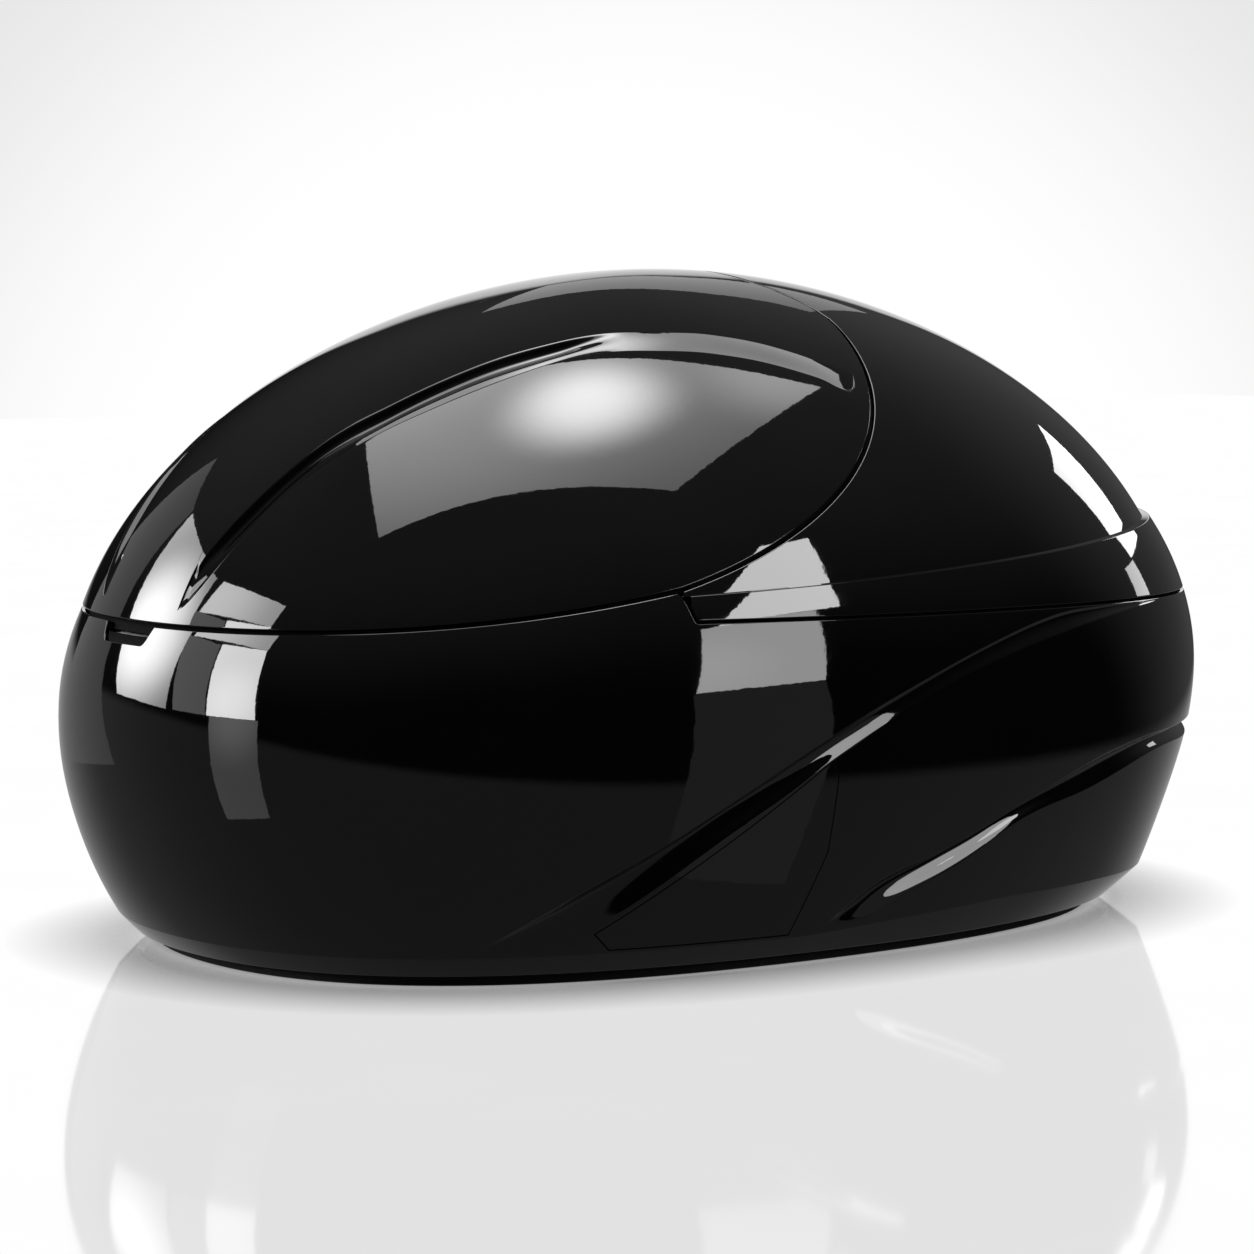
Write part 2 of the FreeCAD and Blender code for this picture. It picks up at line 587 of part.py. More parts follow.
def make_struts():
    foot = Vector(size("strut_foot_place"), 0, size("strut_foot_level"))
    head = Vector(size("strut_head_place"), 0, size("strut_head_level"))
    along = head - foot
    along.normalize()
    inside = feature("LidInside", dome_form(size("skin")))
    for name, side in SIDES.items():
        middle = side * size("strut_spread") / 2
        low = middle - size("strut_eye_width") / 2
        start = foot + along * size("tube_start")
        tube = cylinder(f"StrutTube{name}", "@tube_radius", "@tube_length - @tube_start",
                        (start.x, middle, start.z), along)
        eye = cylinder(f"StrutFootEye{name}", "@strut_eye_radius", "@strut_eye_width",
                       (foot.x, low, foot.z), (0, 1, 0))
        neck = cylinder(f"StrutFootNeck{name}", "@neck_radius", "@neck_length",
                        (foot.x, middle, foot.z), along)
        blank = fuse(f"StrutTubeBlank{name}", tube, eye, neck)
        pin_bore = cylinder(f"StrutFootBore{name}", "@pin_radius + @running_gap",
                            "@strut_eye_width", (foot.x, low, foot.z), (0, 1, 0))
        start = start + along * size("tube_end_wall")
        rod_bore = cylinder(f"StrutBarrel{name}", "@tube_bore_radius", "@tube_length",
                            (start.x, middle, start.z), along)
        part(f"strut_tube_{name}", cut(f"GasStrutTube{name}", blank, pin_bore, rod_bore))
        start = head - along * size("rod_length")
        rod = cylinder(f"StrutRod{name}", "@rod_radius", "@rod_length",
                       (start.x, middle, start.z), along)
        tip = cylinder(f"StrutHeadEye{name}", "@head_eye_radius", "@head_eye_width",
                       (head.x, middle - size("head_eye_width") / 2, head.z), (0, 1, 0))
        part(f"strut_rod_{name}", fuse(f"GasStrutRod{name}", rod, tip))
        corner = head.x - size("clevis_length") / 2, head.z - size("clevis_below")
        inner = size("strut_eye_width") / 2 + size("clevis_gap")
        pieces = [box(f"StrutClevis{name}", "@clevis_length", "@clevis_plate", "@clevis_height",
                      (corner[0], edge, corner[1]))
                  for edge in (middle - inner - size("clevis_plate"), middle + inner)]
        pieces.append(box(f"StrutCrown{name}", "@clevis_length",
                          "@strut_eye_width + 2 * (@clevis_gap + @clevis_plate)",
                          "@clevis_height", (corner[0], middle - inner - size("clevis_plate"),
                                             head.z + size("clevis_crown"))))
        blank = fuse(f"StrutClevisBlank{name}", *pieces)
        part(f"strut_clevis_{name}", common(f"StrutHeadClevis{name}", blank, inside))


# ---------------------------------------------------------------- buttons

def button_spot(number):
    return size("button_place") + number * size("button_pitch"), size("button_line")


def make_buttons():
    rim = size("rim_level")
    for number, name in enumerate(("light", "call")):
        spot = button_spot(number)
        ring = cylinder(f"Bezel{name}", "@bezel_radius", "@bezel_height", (*spot, rim))
        hole = cylinder(f"BezelHole{name}", "@cap_radius + @cap_gap", "@bezel_height", (*spot, rim))
        part(f"{name}_bezel", cut(f"ButtonBezel{name}", ring, hole))
        part(f"{name}_button", cylinder(f"ButtonCap{name}", "@cap_radius", "@cap_height",
                                        (*spot, size("cap_top_level") - size("cap_height"))))
        top = rim - size("rim_thickness")
        housing = cylinder(f"SwitchBlank{name}", "@switch_radius", "@switch_height",
                           (*spot, top - size("switch_height")))
        well = cylinder(f"SwitchWell{name}", "@cap_radius + @cap_gap", "@well_depth",
                        (*spot, top - size("well_depth")))
        part(f"{name}_switch", cut(f"ButtonSwitch{name}", housing, well))


# ---------------------------------------------------------------- water and control equipment

def make_equipment():
    tray_low, line_y = size("foot_stem_top"), size("equipment_line")
    tray_top = tray_low + size("tray_thickness")
    rail_face = size("rail_spread") / 2 + size("rail_width") / 2
    for name, side in SIDES.items():
        corner = rail_face if side > 0 else -rail_face - size("tray_width")
        part(f"equipment_tray_{name}",
             box(f"EquipmentTray{name}", "@tray_length", "@tray_width", "@tray_thickness",
                 (size("tray_place"), corner, tray_low)))
    pump_level = tray_top + size("volute_radius")
    volute_start = size("pump_place") + size("pump_length")
    pipe_start = volute_start + size("volute_length")
    part("pump_motor", cylinder("PumpMotor", "@pump_radius", "@pump_length",
                                (size("pump_place"), -line_y, pump_level), (1, 0, 0)))
    part("pump_volute", cylinder("PumpVolute", "@volute_radius", "@volute_length",
                                 (volute_start, -line_y, pump_level), (1, 0, 0)))
    part("filter_canister", cylinder("FilterCanister", "@filter_radius", "@filter_height",
                                     (0, -line_y, tray_top)))
    part("filter_lid", cylinder("FilterLid", "@lid_radius", "@lid_height",
                                (0, -line_y, tray_top + size("filter_height"))))
    pipe = cylinder("PipeBlank", "@pipe_radius", "-@pump_place - @pump_length - @volute_length",
                    (pipe_start, -line_y, pump_level), (1, 0, 0))
    wall = cylinder("CanisterWall", "@filter_radius", "@filter_height", (0, -line_y, tray_top))
    part("filter_pipe", cut("FilterPipe", pipe, wall))
    part("control_box", box("ControlBox", "@box_length", "@box_width", "@box_height",
                            (size("box_place"), line_y - size("box_width") / 2, tray_top)))
    part("uv_lamp_unit", cylinder("UvLampUnit", "@uv_radius", "@uv_length",
                                  (size("uv_place"), line_y, tray_top + size("uv_radius")),
                                  (1, 0, 0)))


make_casing()
make_plinth()
make_frame()
make_tub()
make_tub_fittings()
make_hood()
make_lid()
make_hinge()
make_struts()
make_buttons()
make_equipment()
doc.recompute()

faults = [thing.Name for thing in doc.Objects if {"Invalid", "Error"} & set(thing.State)]
faults += [label for label, thing in parts.items()
           if thing.Shape.isNull() or not thing.Shape.isValid() or not thing.Shape.Solids]
if faults:
    raise RuntimeError(f"failed: {faults}")

os.makedirs("parts", exist_ok=True)
for label, thing in parts.items():
    thing.Shape.exportStep(f"parts/{label}.step")
    print(label, len(thing.Shape.Solids), round(thing.Shape.Volume / 1e6, 3))
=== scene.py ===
import json

import bpy
import numpy as np
from mathutils import Matrix, Vector


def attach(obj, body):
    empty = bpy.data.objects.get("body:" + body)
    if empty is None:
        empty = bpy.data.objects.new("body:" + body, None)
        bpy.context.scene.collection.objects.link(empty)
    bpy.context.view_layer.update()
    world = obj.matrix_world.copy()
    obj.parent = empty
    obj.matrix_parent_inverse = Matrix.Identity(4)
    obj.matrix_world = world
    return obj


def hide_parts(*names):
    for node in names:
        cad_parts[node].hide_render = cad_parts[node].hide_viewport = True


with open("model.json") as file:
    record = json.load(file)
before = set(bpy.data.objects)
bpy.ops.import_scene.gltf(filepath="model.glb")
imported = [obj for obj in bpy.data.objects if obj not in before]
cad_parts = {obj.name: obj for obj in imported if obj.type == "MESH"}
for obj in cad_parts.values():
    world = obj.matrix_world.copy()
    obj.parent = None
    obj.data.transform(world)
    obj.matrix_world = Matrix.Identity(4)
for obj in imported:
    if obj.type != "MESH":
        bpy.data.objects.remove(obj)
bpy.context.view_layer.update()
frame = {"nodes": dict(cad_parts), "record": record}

# ---------------------------------------------------------------- the oval form


class Form:
    """An oval in plan made of four parabolas, swept up and down along two conic arcs."""

    def __init__(self, half_length, half_width, level, rise, fullness, lean, shift,
                 drop=None, drop_fullness=None):
        self.half_length, self.half_width, self.level = half_length, half_width, level
        self.rise, self.fullness = rise, fullness
        self.drop, self.drop_fullness = drop or rise, drop_fullness or fullness
        self.lean, self.shift = lean, shift

    def sweep_at(self, level):
        """The sweep parameter, 0 at the widest level, 1 at the top and -1 at the bottom."""
        height = np.asarray(level, float) - self.level
        up = height >= 0
        share = np.clip(np.abs(height) / np.where(up, self.rise, self.drop), 0, 1)
        w = np.where(up, self.fullness, self.drop_fullness)
        b = (2 - 2 * w) * share + 2 * w
        root = np.sqrt(np.maximum(b * b - 4 * ((2 - 2 * w) * share - (1 - 2 * w)) * share, 0))
        return np.where(up, 1, -1) * 2 * share / (b + root)

    def frame_at(self, turn, sweep):
        """Points and outward unit normals. turn runs 0 to 4 once round from the tail by +Y."""
        turn, sweep = np.broadcast_arrays(np.asarray(turn, float), np.asarray(sweep, float))
        s, up = np.abs(sweep), sweep >= 0
        w = np.where(up, self.fullness, self.drop_fullness)
        reach = np.where(up, self.rise, -self.drop)
        rim, top = (1 - s) ** 2 + 2 * s * (1 - s) * w, 2 * s * (1 - s) * w + s * s
        whole = rim + s * s
        d_rim = -2 * (1 - s) + 2 * w * (1 - 2 * s)
        d_top = 2 * w * (1 - 2 * s) + 2 * s
        d_whole = d_rim + 2 * s
        ring = rim / whole
        d_ring = (d_rim * whole - rim * d_whole) / whole ** 2
        height = reach * top / whole
        d_height = reach * (d_top * whole - top * d_whole) / whole ** 2
        quarter = np.floor(turn).astype(int) % 4
        t = turn - np.floor(turn)
        x, y, dx, dy = 1 - t * t, 2 * t - t * t, -2 * t, 2 - 2 * t
        for number, (c, sn) in enumerate(((1, 0), (0, 1), (-1, 0), (0, -1))):
            here = quarter == number
            x, y = np.where(here, c * x - sn * y, x), np.where(here, sn * x + c * y, y)
            dx, dy = np.where(here, c * dx - sn * dy, dx), np.where(here, sn * dx + c * dy, dy)
        point = np.stack([self.shift + self.lean * height + self.half_length * ring * x,
                          self.half_width * ring * y, self.level + height], -1)
        around = x * dy - y * dx
        gx = dy / around / self.half_length * np.abs(d_height)
        gy = -dx / around / self.half_width * np.abs(d_height)
        normal = np.stack([gx, gy, -self.lean * gx - d_ring * np.where(up, 1, -1)], -1)
        return point, normal / np.linalg.norm(normal, axis=-1, keepdims=True)


class FootedForm(Form):
    """A form whose foot stands out further than its conic arc does, most of all at the tail."""

    flare_top, flare_low, growth, tail_shift, power, share_limit = .36, .06, .04, .02, 2.6, 1.12

    def placed(self, turn, sweep):
        point = super().frame_at(turn, sweep)[0]
        share = (self.flare_top - point[..., 2:]) / (self.flare_top - self.flare_low)
        share = np.clip(share, 0, self.share_limit) ** self.power
        moved = point * (1 + self.growth * share) + np.array([1, 0, 0]) * self.tail_shift * share
        return np.concatenate([moved[..., :2], point[..., 2:]], -1)

    def frame_at(self, turn, sweep):
        turn, sweep = np.broadcast_arrays(np.asarray(turn, float), np.asarray(sweep, float))
        point, normal = super().frame_at(turn, sweep)
        step = 1e-4
        around = self.placed(turn + step, sweep) - self.placed(turn - step, sweep)
        up = self.placed(turn, sweep + step) - self.placed(turn, sweep - step)
        flared = point[..., 2:] < self.flare_top
        return (np.where(flared, self.placed(turn, sweep), point),
                np.where(flared, unit(np.cross(around, up)), normal))


def unit(vectors):
    length = np.linalg.norm(vectors, axis=-1, keepdims=True)
    return vectors / np.where(length > 1e-12, length, 1)


BODY = FootedForm(half_length=1.300, half_width=.858, level=.4985, rise=.8274, fullness=.667,
                  lean=.0641, shift=0.0, drop=.8272, drop_fullness=.7885)
DOME = Form(half_length=1.2794, half_width=.8462, level=.4985, rise=.8902, fullness=.667,
            lean=.0287, shift=-.010)
SKIN = .008

# ---------------------------------------------------------------- seams


def bezier(poles, count=400):
    t = np.linspace(0, 1, count)[:, None]
    a, b, c, d = (np.array(p, float) for p in poles)
    return (1 - t) ** 3 * a + 3 * t * (1 - t) ** 2 * b + 3 * t * t * (1 - t) * c + t ** 3 * d


def circle_through(a, b, c):
    """Level as a function of station on the circle through three points."""
    m = np.array([[2 * (b[0] - a[0]), 2 * (b[1] - a[1])], [2 * (c[0] - a[0]), 2 * (c[1] - a[1])]])
    v = np.array([b[0] ** 2 + b[1] ** 2 - a[0] ** 2 - a[1] ** 2,
                  c[0] ** 2 + c[1] ** 2 - a[0] ** 2 - a[1] ** 2])
    cx, cy = np.linalg.solve(m, v)
    radius = np.hypot(a[0] - cx, a[1] - cy)
    return lambda x: cy + np.sign(b[1] - cy) * np.sqrt(np.maximum(radius ** 2 - (x - cx) ** 2, 0))


LID_EDGE = bezier([(-.460, .767), (-.150, .850), (.205, 1.030), (.204, 1.300)])
CROWN_EDGE = bezier([(.104, 0), (.105, .200), (.185, .260), (.204, .390)])
FRONT_SEAM = circle_through((-1.6, .697), (-.9, .710), (-.460, .767))
COLLAR_TOP = circle_through((-.6, .752), (.3, .791), (1.6, .910))
FRONT_SEAM_END = -.46
# CROWN_EDGE holds over this level and within this half width. FAR is a station off the tank.
CROWN_LEVEL, CROWN_HALF, FAR = 1.15, .39, 9
FRONT_GAP, REAR_GAP, LID_GAP = .008, .006, .006
# The seams and the collar's top are searched for in these ranges of levels.
SEAM_RANGE, COLLAR_RANGE = (.60, .80), (.70, .95)
# Both steps are (station, level) from the front seam down to the rear seam.
CASING_STEP = np.array([(-.4665, .7625), (-.4625, .7605), (-.4595, .7540), (-.4475, .7180),
                        (-.4440, .7075), (-.4400, .7032)])
HOOD_STEP = np.array([(-.4600, .7650), (-.4560, .7625), (-.4535, .7570), (-.4425, .7210),
                      (-.4390, .7115), (-.4350, .7062)])
# The finger notch's edge is (distance from the centre plane, level).
NOTCH = np.array([(.0700, .6500), (.0760, .6508), (.0815, .6545), (.0865, .6610), (.0935, .6760),
                  (.0985, .6860), (.1035, .6905), (.1090, .6925), (.1150, .6932)])


def front_seam(x):
    """Level of the front seam, which stays the same behind its end at the step."""
    return FRONT_SEAM(np.minimum(x, FRONT_SEAM_END))


def rear_seam(x):
    """Level of the rear seam, a straight line in side view."""
    return .7005 - .0128 * x


def lid_edge_at(point, half_gap):
    """Station of the lid's rear edge abreast of each point. half_gap < 0 is the lid's side."""
    y, z = np.abs(point[..., 1]), point[..., 2]
    side = np.interp(z + half_gap, LID_EDGE[:, 1], LID_EDGE[:, 0], left=-FAR)
    on_crown = (z > CROWN_LEVEL) & (y < CROWN_HALF)
    crown = np.where(on_crown, np.interp(y, CROWN_EDGE[:, 1], CROWN_EDGE[:, 0]), FAR)
    return np.minimum(np.where(side < -1, LID_EDGE[0, 0], side), crown) + half_gap


def casing_top(point):
    """Level of the casing's top edge over each point: front seam, step, rear seam and notch."""
    x, y = point[..., 0], np.abs(point[..., 1])
    front, rear = front_seam(x) - FRONT_GAP / 2, rear_seam(x) - REAR_GAP / 2
    step = np.interp(x, *CASING_STEP.T)
    level = np.where(x < CASING_STEP[0, 0], front, np.where(x > CASING_STEP[-1, 0], rear, step))
    notch = np.interp(y, *NOTCH.T)
    return np.where((x < -1) & (y < NOTCH[-1, 0]), np.minimum(notch, level), level)


def smooth(low, high, value):
    t = np.clip((value - low) / (high - low), 0, 1)
    return t * t * (3 - 2 * t)


# ---------------------------------------------------------------- grooves

# Each line is (turn, level) along one edge of a groove, on the +Y side. The -Y side mirrors it.
LID_GROOVE_TOP = np.array([
    (.9182, 1.170), (.9577, 1.197), (1.014, 1.226), (1.1235, 1.253), (1.2368, 1.259),
    (1.3575, 1.256), (1.4614, 1.238), (1.6011, 1.192), (1.7089, 1.123), (1.7961, 1.041),
    (1.8463, .942), (1.8721, .875), (1.8897, .814), (1.8983, .751), (1.8990, .722)])
LID_GROOVE_LOW = np.array([
    (.9182, 1.170), (.9388, 1.137), (.9788, 1.163), (1.0342, 1.190), (1.1368, 1.215),
    (1.2377, 1.221), (1.3452, 1.218), (1.4256, 1.202), (1.5016, 1.173), (1.6169, 1.113),
    (1.6951, 1.060), (1.7589, .995), (1.8027, .928), (1.8296, .862), (1.8561, .795),
    (1.8693, .762), (1.8846, .733), (1.8930, .723), (1.8990, .722)])
FLANK_GROOVE_TOP = np.array([
    (.5825, .682), (.7188, .687), (.7915, .682), (.9009, .629), (.9943, .549), (1.0753, .456),
    (1.1512, .362), (1.2242, .278), (1.3263, .185), (1.4487, .080)])
FLANK_GROOVE_LOW = np.array([
    (.5825, .682), (.6709, .671), (.7809, .644), (.8575, .613), (.9435, .557), (1.0078, .488),
    (1.0593, .423), (1.1008, .361), (1.1577, .289), (1.2209, .203), (1.3045, .107),
    (1.3432, .069)])
TAIL_GROOVE_TOP = np.array([
    (0, .412), (.30, .411), (.5152, .405), (.6497, .396), (.7204, .376), (.8173, .311),
    (.8775, .260), (.9306, .215), (.9985, .162), (1.0556, .069)])
TAIL_GROOVE_LOW = np.array([
    (0, .380), (.20, .378), (.3969, .368), (.6107, .357), (.732, .305), (.8415, .253),
    (.8951, .192), (.9689, .124), (1.0238, .065)])
# Depths are (turn, metres). Shapes are (place, share of the depth), where place runs across the
# groove from its upper edge (0) to its lower edge (1).
LID_GROOVE_DEPTH = np.array([
    (.9182, 0), (.94, .002), (.97, .005), (1.0, .0075), (1.3, .008), (1.45, .014), (1.6, .015),
    (1.80, .015), (1.87, .012), (1.8990, .003)])
LID_GROOVE_RAMP = np.array([(0, 0), (.03, .01), (.08, .06), (.84, .96), (.89, 1), (.925, .92),
                            (.97, .20), (.985, .05), (1, 0)])
LID_GROOVE_BOWL = np.array([(0, 0), (.02, .01), (.06, .12), (.16, .80), (.5, 1), (.84, .80),
                            (.94, .12), (.98, .01), (1, 0)])
FLANK_GROOVE_DEPTH = np.array([
    (.5825, 0), (.72, .004), (.80, .005), (.87, .004), (.97, .0035), (1.02, .005), (1.07, .009),
    (1.13, .0135), (1.3, .014), (1.4487, 0)])
FLANK_GROOVE_SHAPE = np.array([(0, 0), (.02, .03), (.06, .20), (.20, .90), (.26, 1), (.34, .97),
                               (.50, .82), (.70, .50), (.86, .20), (.96, .03), (1, 0)])
TAIL_GROOVE_DEPTH = np.array([
    (0, .022), (.4, .020), (.65, .012), (.80, .011), (.86, .015), (.93, .021), (1.0, .015),
    (1.02, .008), (1.04, .002), (1.0556, 0)])
TAIL_GROOVE_SHAPE = np.array([(0, 0), (.05, .04), (.15, .35), (.28, .88), (.36, 1), (.44, .95),
                              (.94, .06), (.98, .01), (1, 0)])
# The foot band: its upper line is (station, level), and how far it turns in is (turn, metres).
FOOT_LINE = np.array([(-1.6, .065), (-1.152, .065), (-.151, .066), (.098, .081), (.377, .094),
                      (.697, .092), (1.05, .080), (1.6, .078)])
FOOT_TUCK = np.array([(0, .050), (.35, .046), (.9, .018), (2, .012)])


def along(table, place):
    """A smooth curve through a table of (place, value), held at both ends."""
    x, y = table[:, 0], table[:, 1]
    step = np.diff(y) / np.diff(x)
    slope = np.concatenate([[step[0]], (step[:-1] * np.diff(x)[1:] + step[1:] * np.diff(x)[:-1])
                            / (x[2:] - x[:-2]), [step[-1]]])
    place = np.clip(place, x[0], x[-1])
    i = np.clip(np.searchsorted(x, place) - 1, 0, len(x) - 2)
    h = x[i + 1] - x[i]
    t = (place - x[i]) / h
    return ((1 + 2 * t) * (1 - t) ** 2 * y[i] + t * (1 - t) ** 2 * h * slope[i]
            + t * t * (3 - 2 * t) * y[i + 1] + t * t * (t - 1) * h * slope[i + 1])


# ---------------------------------------------------------------- building meshes


WELD = 2e-5
ARC_ROWS = 6
OUTER, DARK, INNER = 0, 1, 2


class Sheet:
    """Collects grids of points with their own normals, then welds them into one mesh.

    A mark is the number of a face's material: OUTER, DARK or INNER."""

    def __init__(self):
        self.points, self.faces, self.normals, self.marks = [], [], [], []
        self.count = 0

    def grid(self, points, normals, mark, flip):
        """points and normals are (rows, columns, 3). Rows go up, columns run round by +Y."""
        rows, columns = points.shape[:2]
        index = np.arange(rows * columns).reshape(rows, columns) + self.count
        quads = np.stack([index[:-1, :-1], index[:-1, 1:], index[1:, 1:], index[1:, :-1]], -1)
        quads = quads.reshape(-1, 4)
        self.points.append(points.reshape(-1, 3))
        self.normals.append(normals.reshape(-1, 3))
        self.faces.append(quads[:, ::-1] if flip else quads)
        self.marks.append(np.full(len(quads), mark))
        self.count += rows * columns

    def mirrored(self, points, normals, mark=OUTER, flip=False):
        """Adds a grid and its mirror image on the -Y side."""
        self.grid(points, normals, mark, flip)
        turned = np.array([1, -1, 1])
        self.grid(points * turned, normals * turned, mark, not flip)

    def build(self, name, materials):
        """Makes the object. Faces that the weld leaves flat or repeated are left out."""
        points, normals = np.concatenate(self.points), np.concatenate(self.normals)
        faces, marks = np.concatenate(self.faces), np.concatenate(self.marks)
        _, first, welded = np.unique(np.round(points / WELD).astype(np.int64), axis=0,
                                     return_index=True, return_inverse=True)
        welded = welded.reshape(-1)
        polygons, loops, kept, seen = [], [], [], set()
        for face, mark in zip(faces, marks):
            ids = welded[face]
            keep = [k for k in range(4) if ids[k] != ids[k - 1]]
            corners = frozenset(ids[keep].tolist())
            if len(keep) < 3 or len(corners) < len(keep) or corners in seen:
                continue
            seen.add(corners)
            polygons.append([int(ids[k]) for k in keep])
            loops.extend(face[k] for k in keep)
            kept.append(mark)
        mesh = bpy.data.meshes.new(name)
        mesh.from_pydata(points[first].tolist(), [], polygons)
        for material in materials:
            mesh.materials.append(material)
        mesh.polygons.foreach_set("material_index", np.array(kept, dtype=np.int32))
        mesh.polygons.foreach_set("use_smooth", np.ones(len(polygons), dtype=bool))
        mesh.update()
        mesh.normals_split_custom_set(normals[loops].tolist())
        thing = bpy.data.objects.new(name, mesh)
        bpy.context.collection.objects.link(thing)
        return thing


def grid_normals(points, fallback):
    """Normals of a grid from its own shape, or the fallback where rows run together."""
    up, round_ = np.gradient(points, axis=0), np.gradient(points, axis=1)
    normal = np.cross(round_, up)
    length = np.linalg.norm(normal, axis=-1, keepdims=True)
    flat = (np.linalg.norm(up, axis=-1, keepdims=True) < WELD) | (length < 1e-9)
    return np.where(flat, fallback, unit(normal))


def spread(*spans):
    """Column places: each span is (start, end, count), joined end to end."""
    pieces = [np.linspace(start, end, count, endpoint=False) for start, end, count in spans]
    return np.concatenate(pieces + [[spans[-1][1]]])


def lip(edge, normal, outwards, radius, depth, downwards):
    """ARC_ROWS rows that round an edge over, and two that turn it in: (points, normals)."""
    base = edge - outwards * radius - normal * radius
    normals = [np.cos(a) * normal + np.sin(a) * outwards
               for a in np.linspace(0, np.pi / 2, ARC_ROWS)]
    points = [base + radius * direction for direction in normals]
    points += [points[-1], points[-1] - normal * (depth - radius)]
    normals += [outwards, outwards]
    points, normals = np.stack(points), np.stack(normals)
    return (points[::-1], normals[::-1]) if downwards else (points, normals)


def edge_directions(edge, normal, downwards):
    """In-surface direction that leaves the sheet across its edge row."""
    run = unit(np.gradient(edge, axis=0))
    across = unit(np.cross(normal, run))
    return -across if downwards else across


def solve_level(form, turn, target, low, high):
    """Level where each column of the form meets the line target(point)."""
    low, high = np.full(turn.shape, low), np.full(turn.shape, high)
    for _ in range(40):
        middle = (low + high) / 2
        above = middle > target(form.frame_at(turn, form.sweep_at(middle))[0])
        low, high = np.where(above, low, middle), np.where(above, middle, high)
    return (low + high) / 2


def solve_sweep(turn, low, inside):
    """Lowest sweep on the dome at which each column is inside a region that holds the pole."""
    high = np.ones(turn.shape)
    for _ in range(45):
        middle = (low + high) / 2
        within = inside(DOME.frame_at(turn, middle)[0])
        low, high = np.where(within, low, middle), np.where(within, middle, high)
    return high


# Rows of a band. The inner layers take every third row, so each has a multiple of 3 and one more.
EVEN = np.linspace(0, 1, 25)
FINE = np.linspace(0, 1, 52)
CROWDED = np.array([0, .008, .016, .025, .035, .045, .06, .08, .11, .15, .20, .25, .30, .36, .43,
                    .50, .57, .64, .70, .75, .80, .85, .89, .92, .94, .955, .965, .975, .984,
                    .992, 1])


def band(form, turn, low, high, rows=EVEN):
    """A grid of points between two sweeps, with its normals and its place across (0 to 1)."""
    t = rows[:, None]
    sweep = low + (high - low) * t
    points, normals = form.frame_at(turn[None, :], sweep)
    return points, normals, np.broadcast_to(t, sweep.shape)


def carve(points, normals, depth, level=False):
    """Sinks a grid by a depth at each point, along its normals or level, with new normals."""
    direction = unit(normals * np.array([1, 1, 0])) if level else normals
    sunk = points - direction * depth[..., None]
    return sunk, centred(grid_normals(sunk, normals), points)


def centred(vectors, points):
    """Vectors with no sideways lean on the centre plane."""
    on_plane = (np.abs(points[..., 1]) < 1e-6)[..., None]
    return unit(np.where(on_plane, vectors * np.array([1, 0, 1]), vectors))


def eased(points, direction, radius, from_top=False):
    """Pulls a band's edge row back by the radius of its lip, and the rows behind it less."""
    share = np.linspace(1, 0, len(points))[:, None, None]
    if from_top:
        share = share[::-1]
    return points - direction * radius * share


def add_lip(sheet, edge, normal, upwards, radius, depth):
    """Rounds an edge row and turns it inwards. Returns the direction that leaves the sheet."""
    direction = centred(edge_directions(edge, normal, not upwards), edge)
    sheet.mirrored(*lip(edge, normal, direction, radius, depth, not upwards))
    return direction


def add_inner(sheet, points, normals):
    """The back of a shell: every third row of a band, one SKIN behind it."""
    sheet.mirrored(points[::3] - normals[::3] * SKIN, -normals[::3], INNER, flip=True)


LIP_RADIUS, FOOT_RADIUS, LEDGE_RADIUS = .0025, .003, .003
# FOOT_LINE is looked up by the casing's station at the level FOOT_LINE_NEAR.
FOOT_LINE_NEAR, CASING_BOTTOM, FOOT_RETURN = .08, .024, .02
# A groove fades in between these heights over the foot line.
FOOT_FADE = .004, .040
CUP_START, CUP_INSET, CUP_DEPTH, CUP_FLOOR, CUP_CEILING = 1.93, .003, .045, .667, .715
# The casing's bands, counted from the foot: foot, wall, tail groove, wall, flank groove, top.
FOOT_BAND, TAIL_BAND, FLANK_BAND, TOP_BAND = 0, 2, 4, 5
CASING_GROOVES = {TAIL_BAND: (TAIL_GROOVE_DEPTH, TAIL_GROOVE_SHAPE),
                  FLANK_BAND: (FLANK_GROOVE_DEPTH, FLANK_GROOVE_SHAPE)}
# The lid's bands, counted from the seam: below its groove, the groove, the dome above it.
SEAM_BAND, LID_GROOVE_BAND = 0, 1
# The lid's edge is searched for upwards from these levels: for the lid, and for the black strip of
# painted shade behind its edge.
LID_SEARCH_FROM, SHADE_STRIP_SEARCH_FROM = .69, .74
# The lid groove's section changes from LID_GROOVE_RAMP to LID_GROOVE_BOWL between these turns.
RAMP_TO_BOWL = 1.30, 1.45
# Turns at which the hood and the black strip of painted shade behind the lid's edge come to an
# end.
HOOD_TIP, LID_SHADE_STRIP_END = 1.2088, 1.2
# From this turn to the nose the seam's black strip of painted shade keeps to this level, past the
# finger notch.
LEVEL_SHADE_STRIP_FROM, NOSE_SHADE_STRIP_LEVEL = 1.9, .693
SHADE_STRIP_HALF, SHADE_STRIP_ROWS = .002, 5
# How far a black strip of painted shade reaches to either side of the edge it follows, and lies
# behind the shell.
SEAM_STRIP, SEAM_STRIP_BEHIND = (-.016, .020), .012
LID_STRIP, LID_STRIP_BEHIND = (-.016, .014), .006


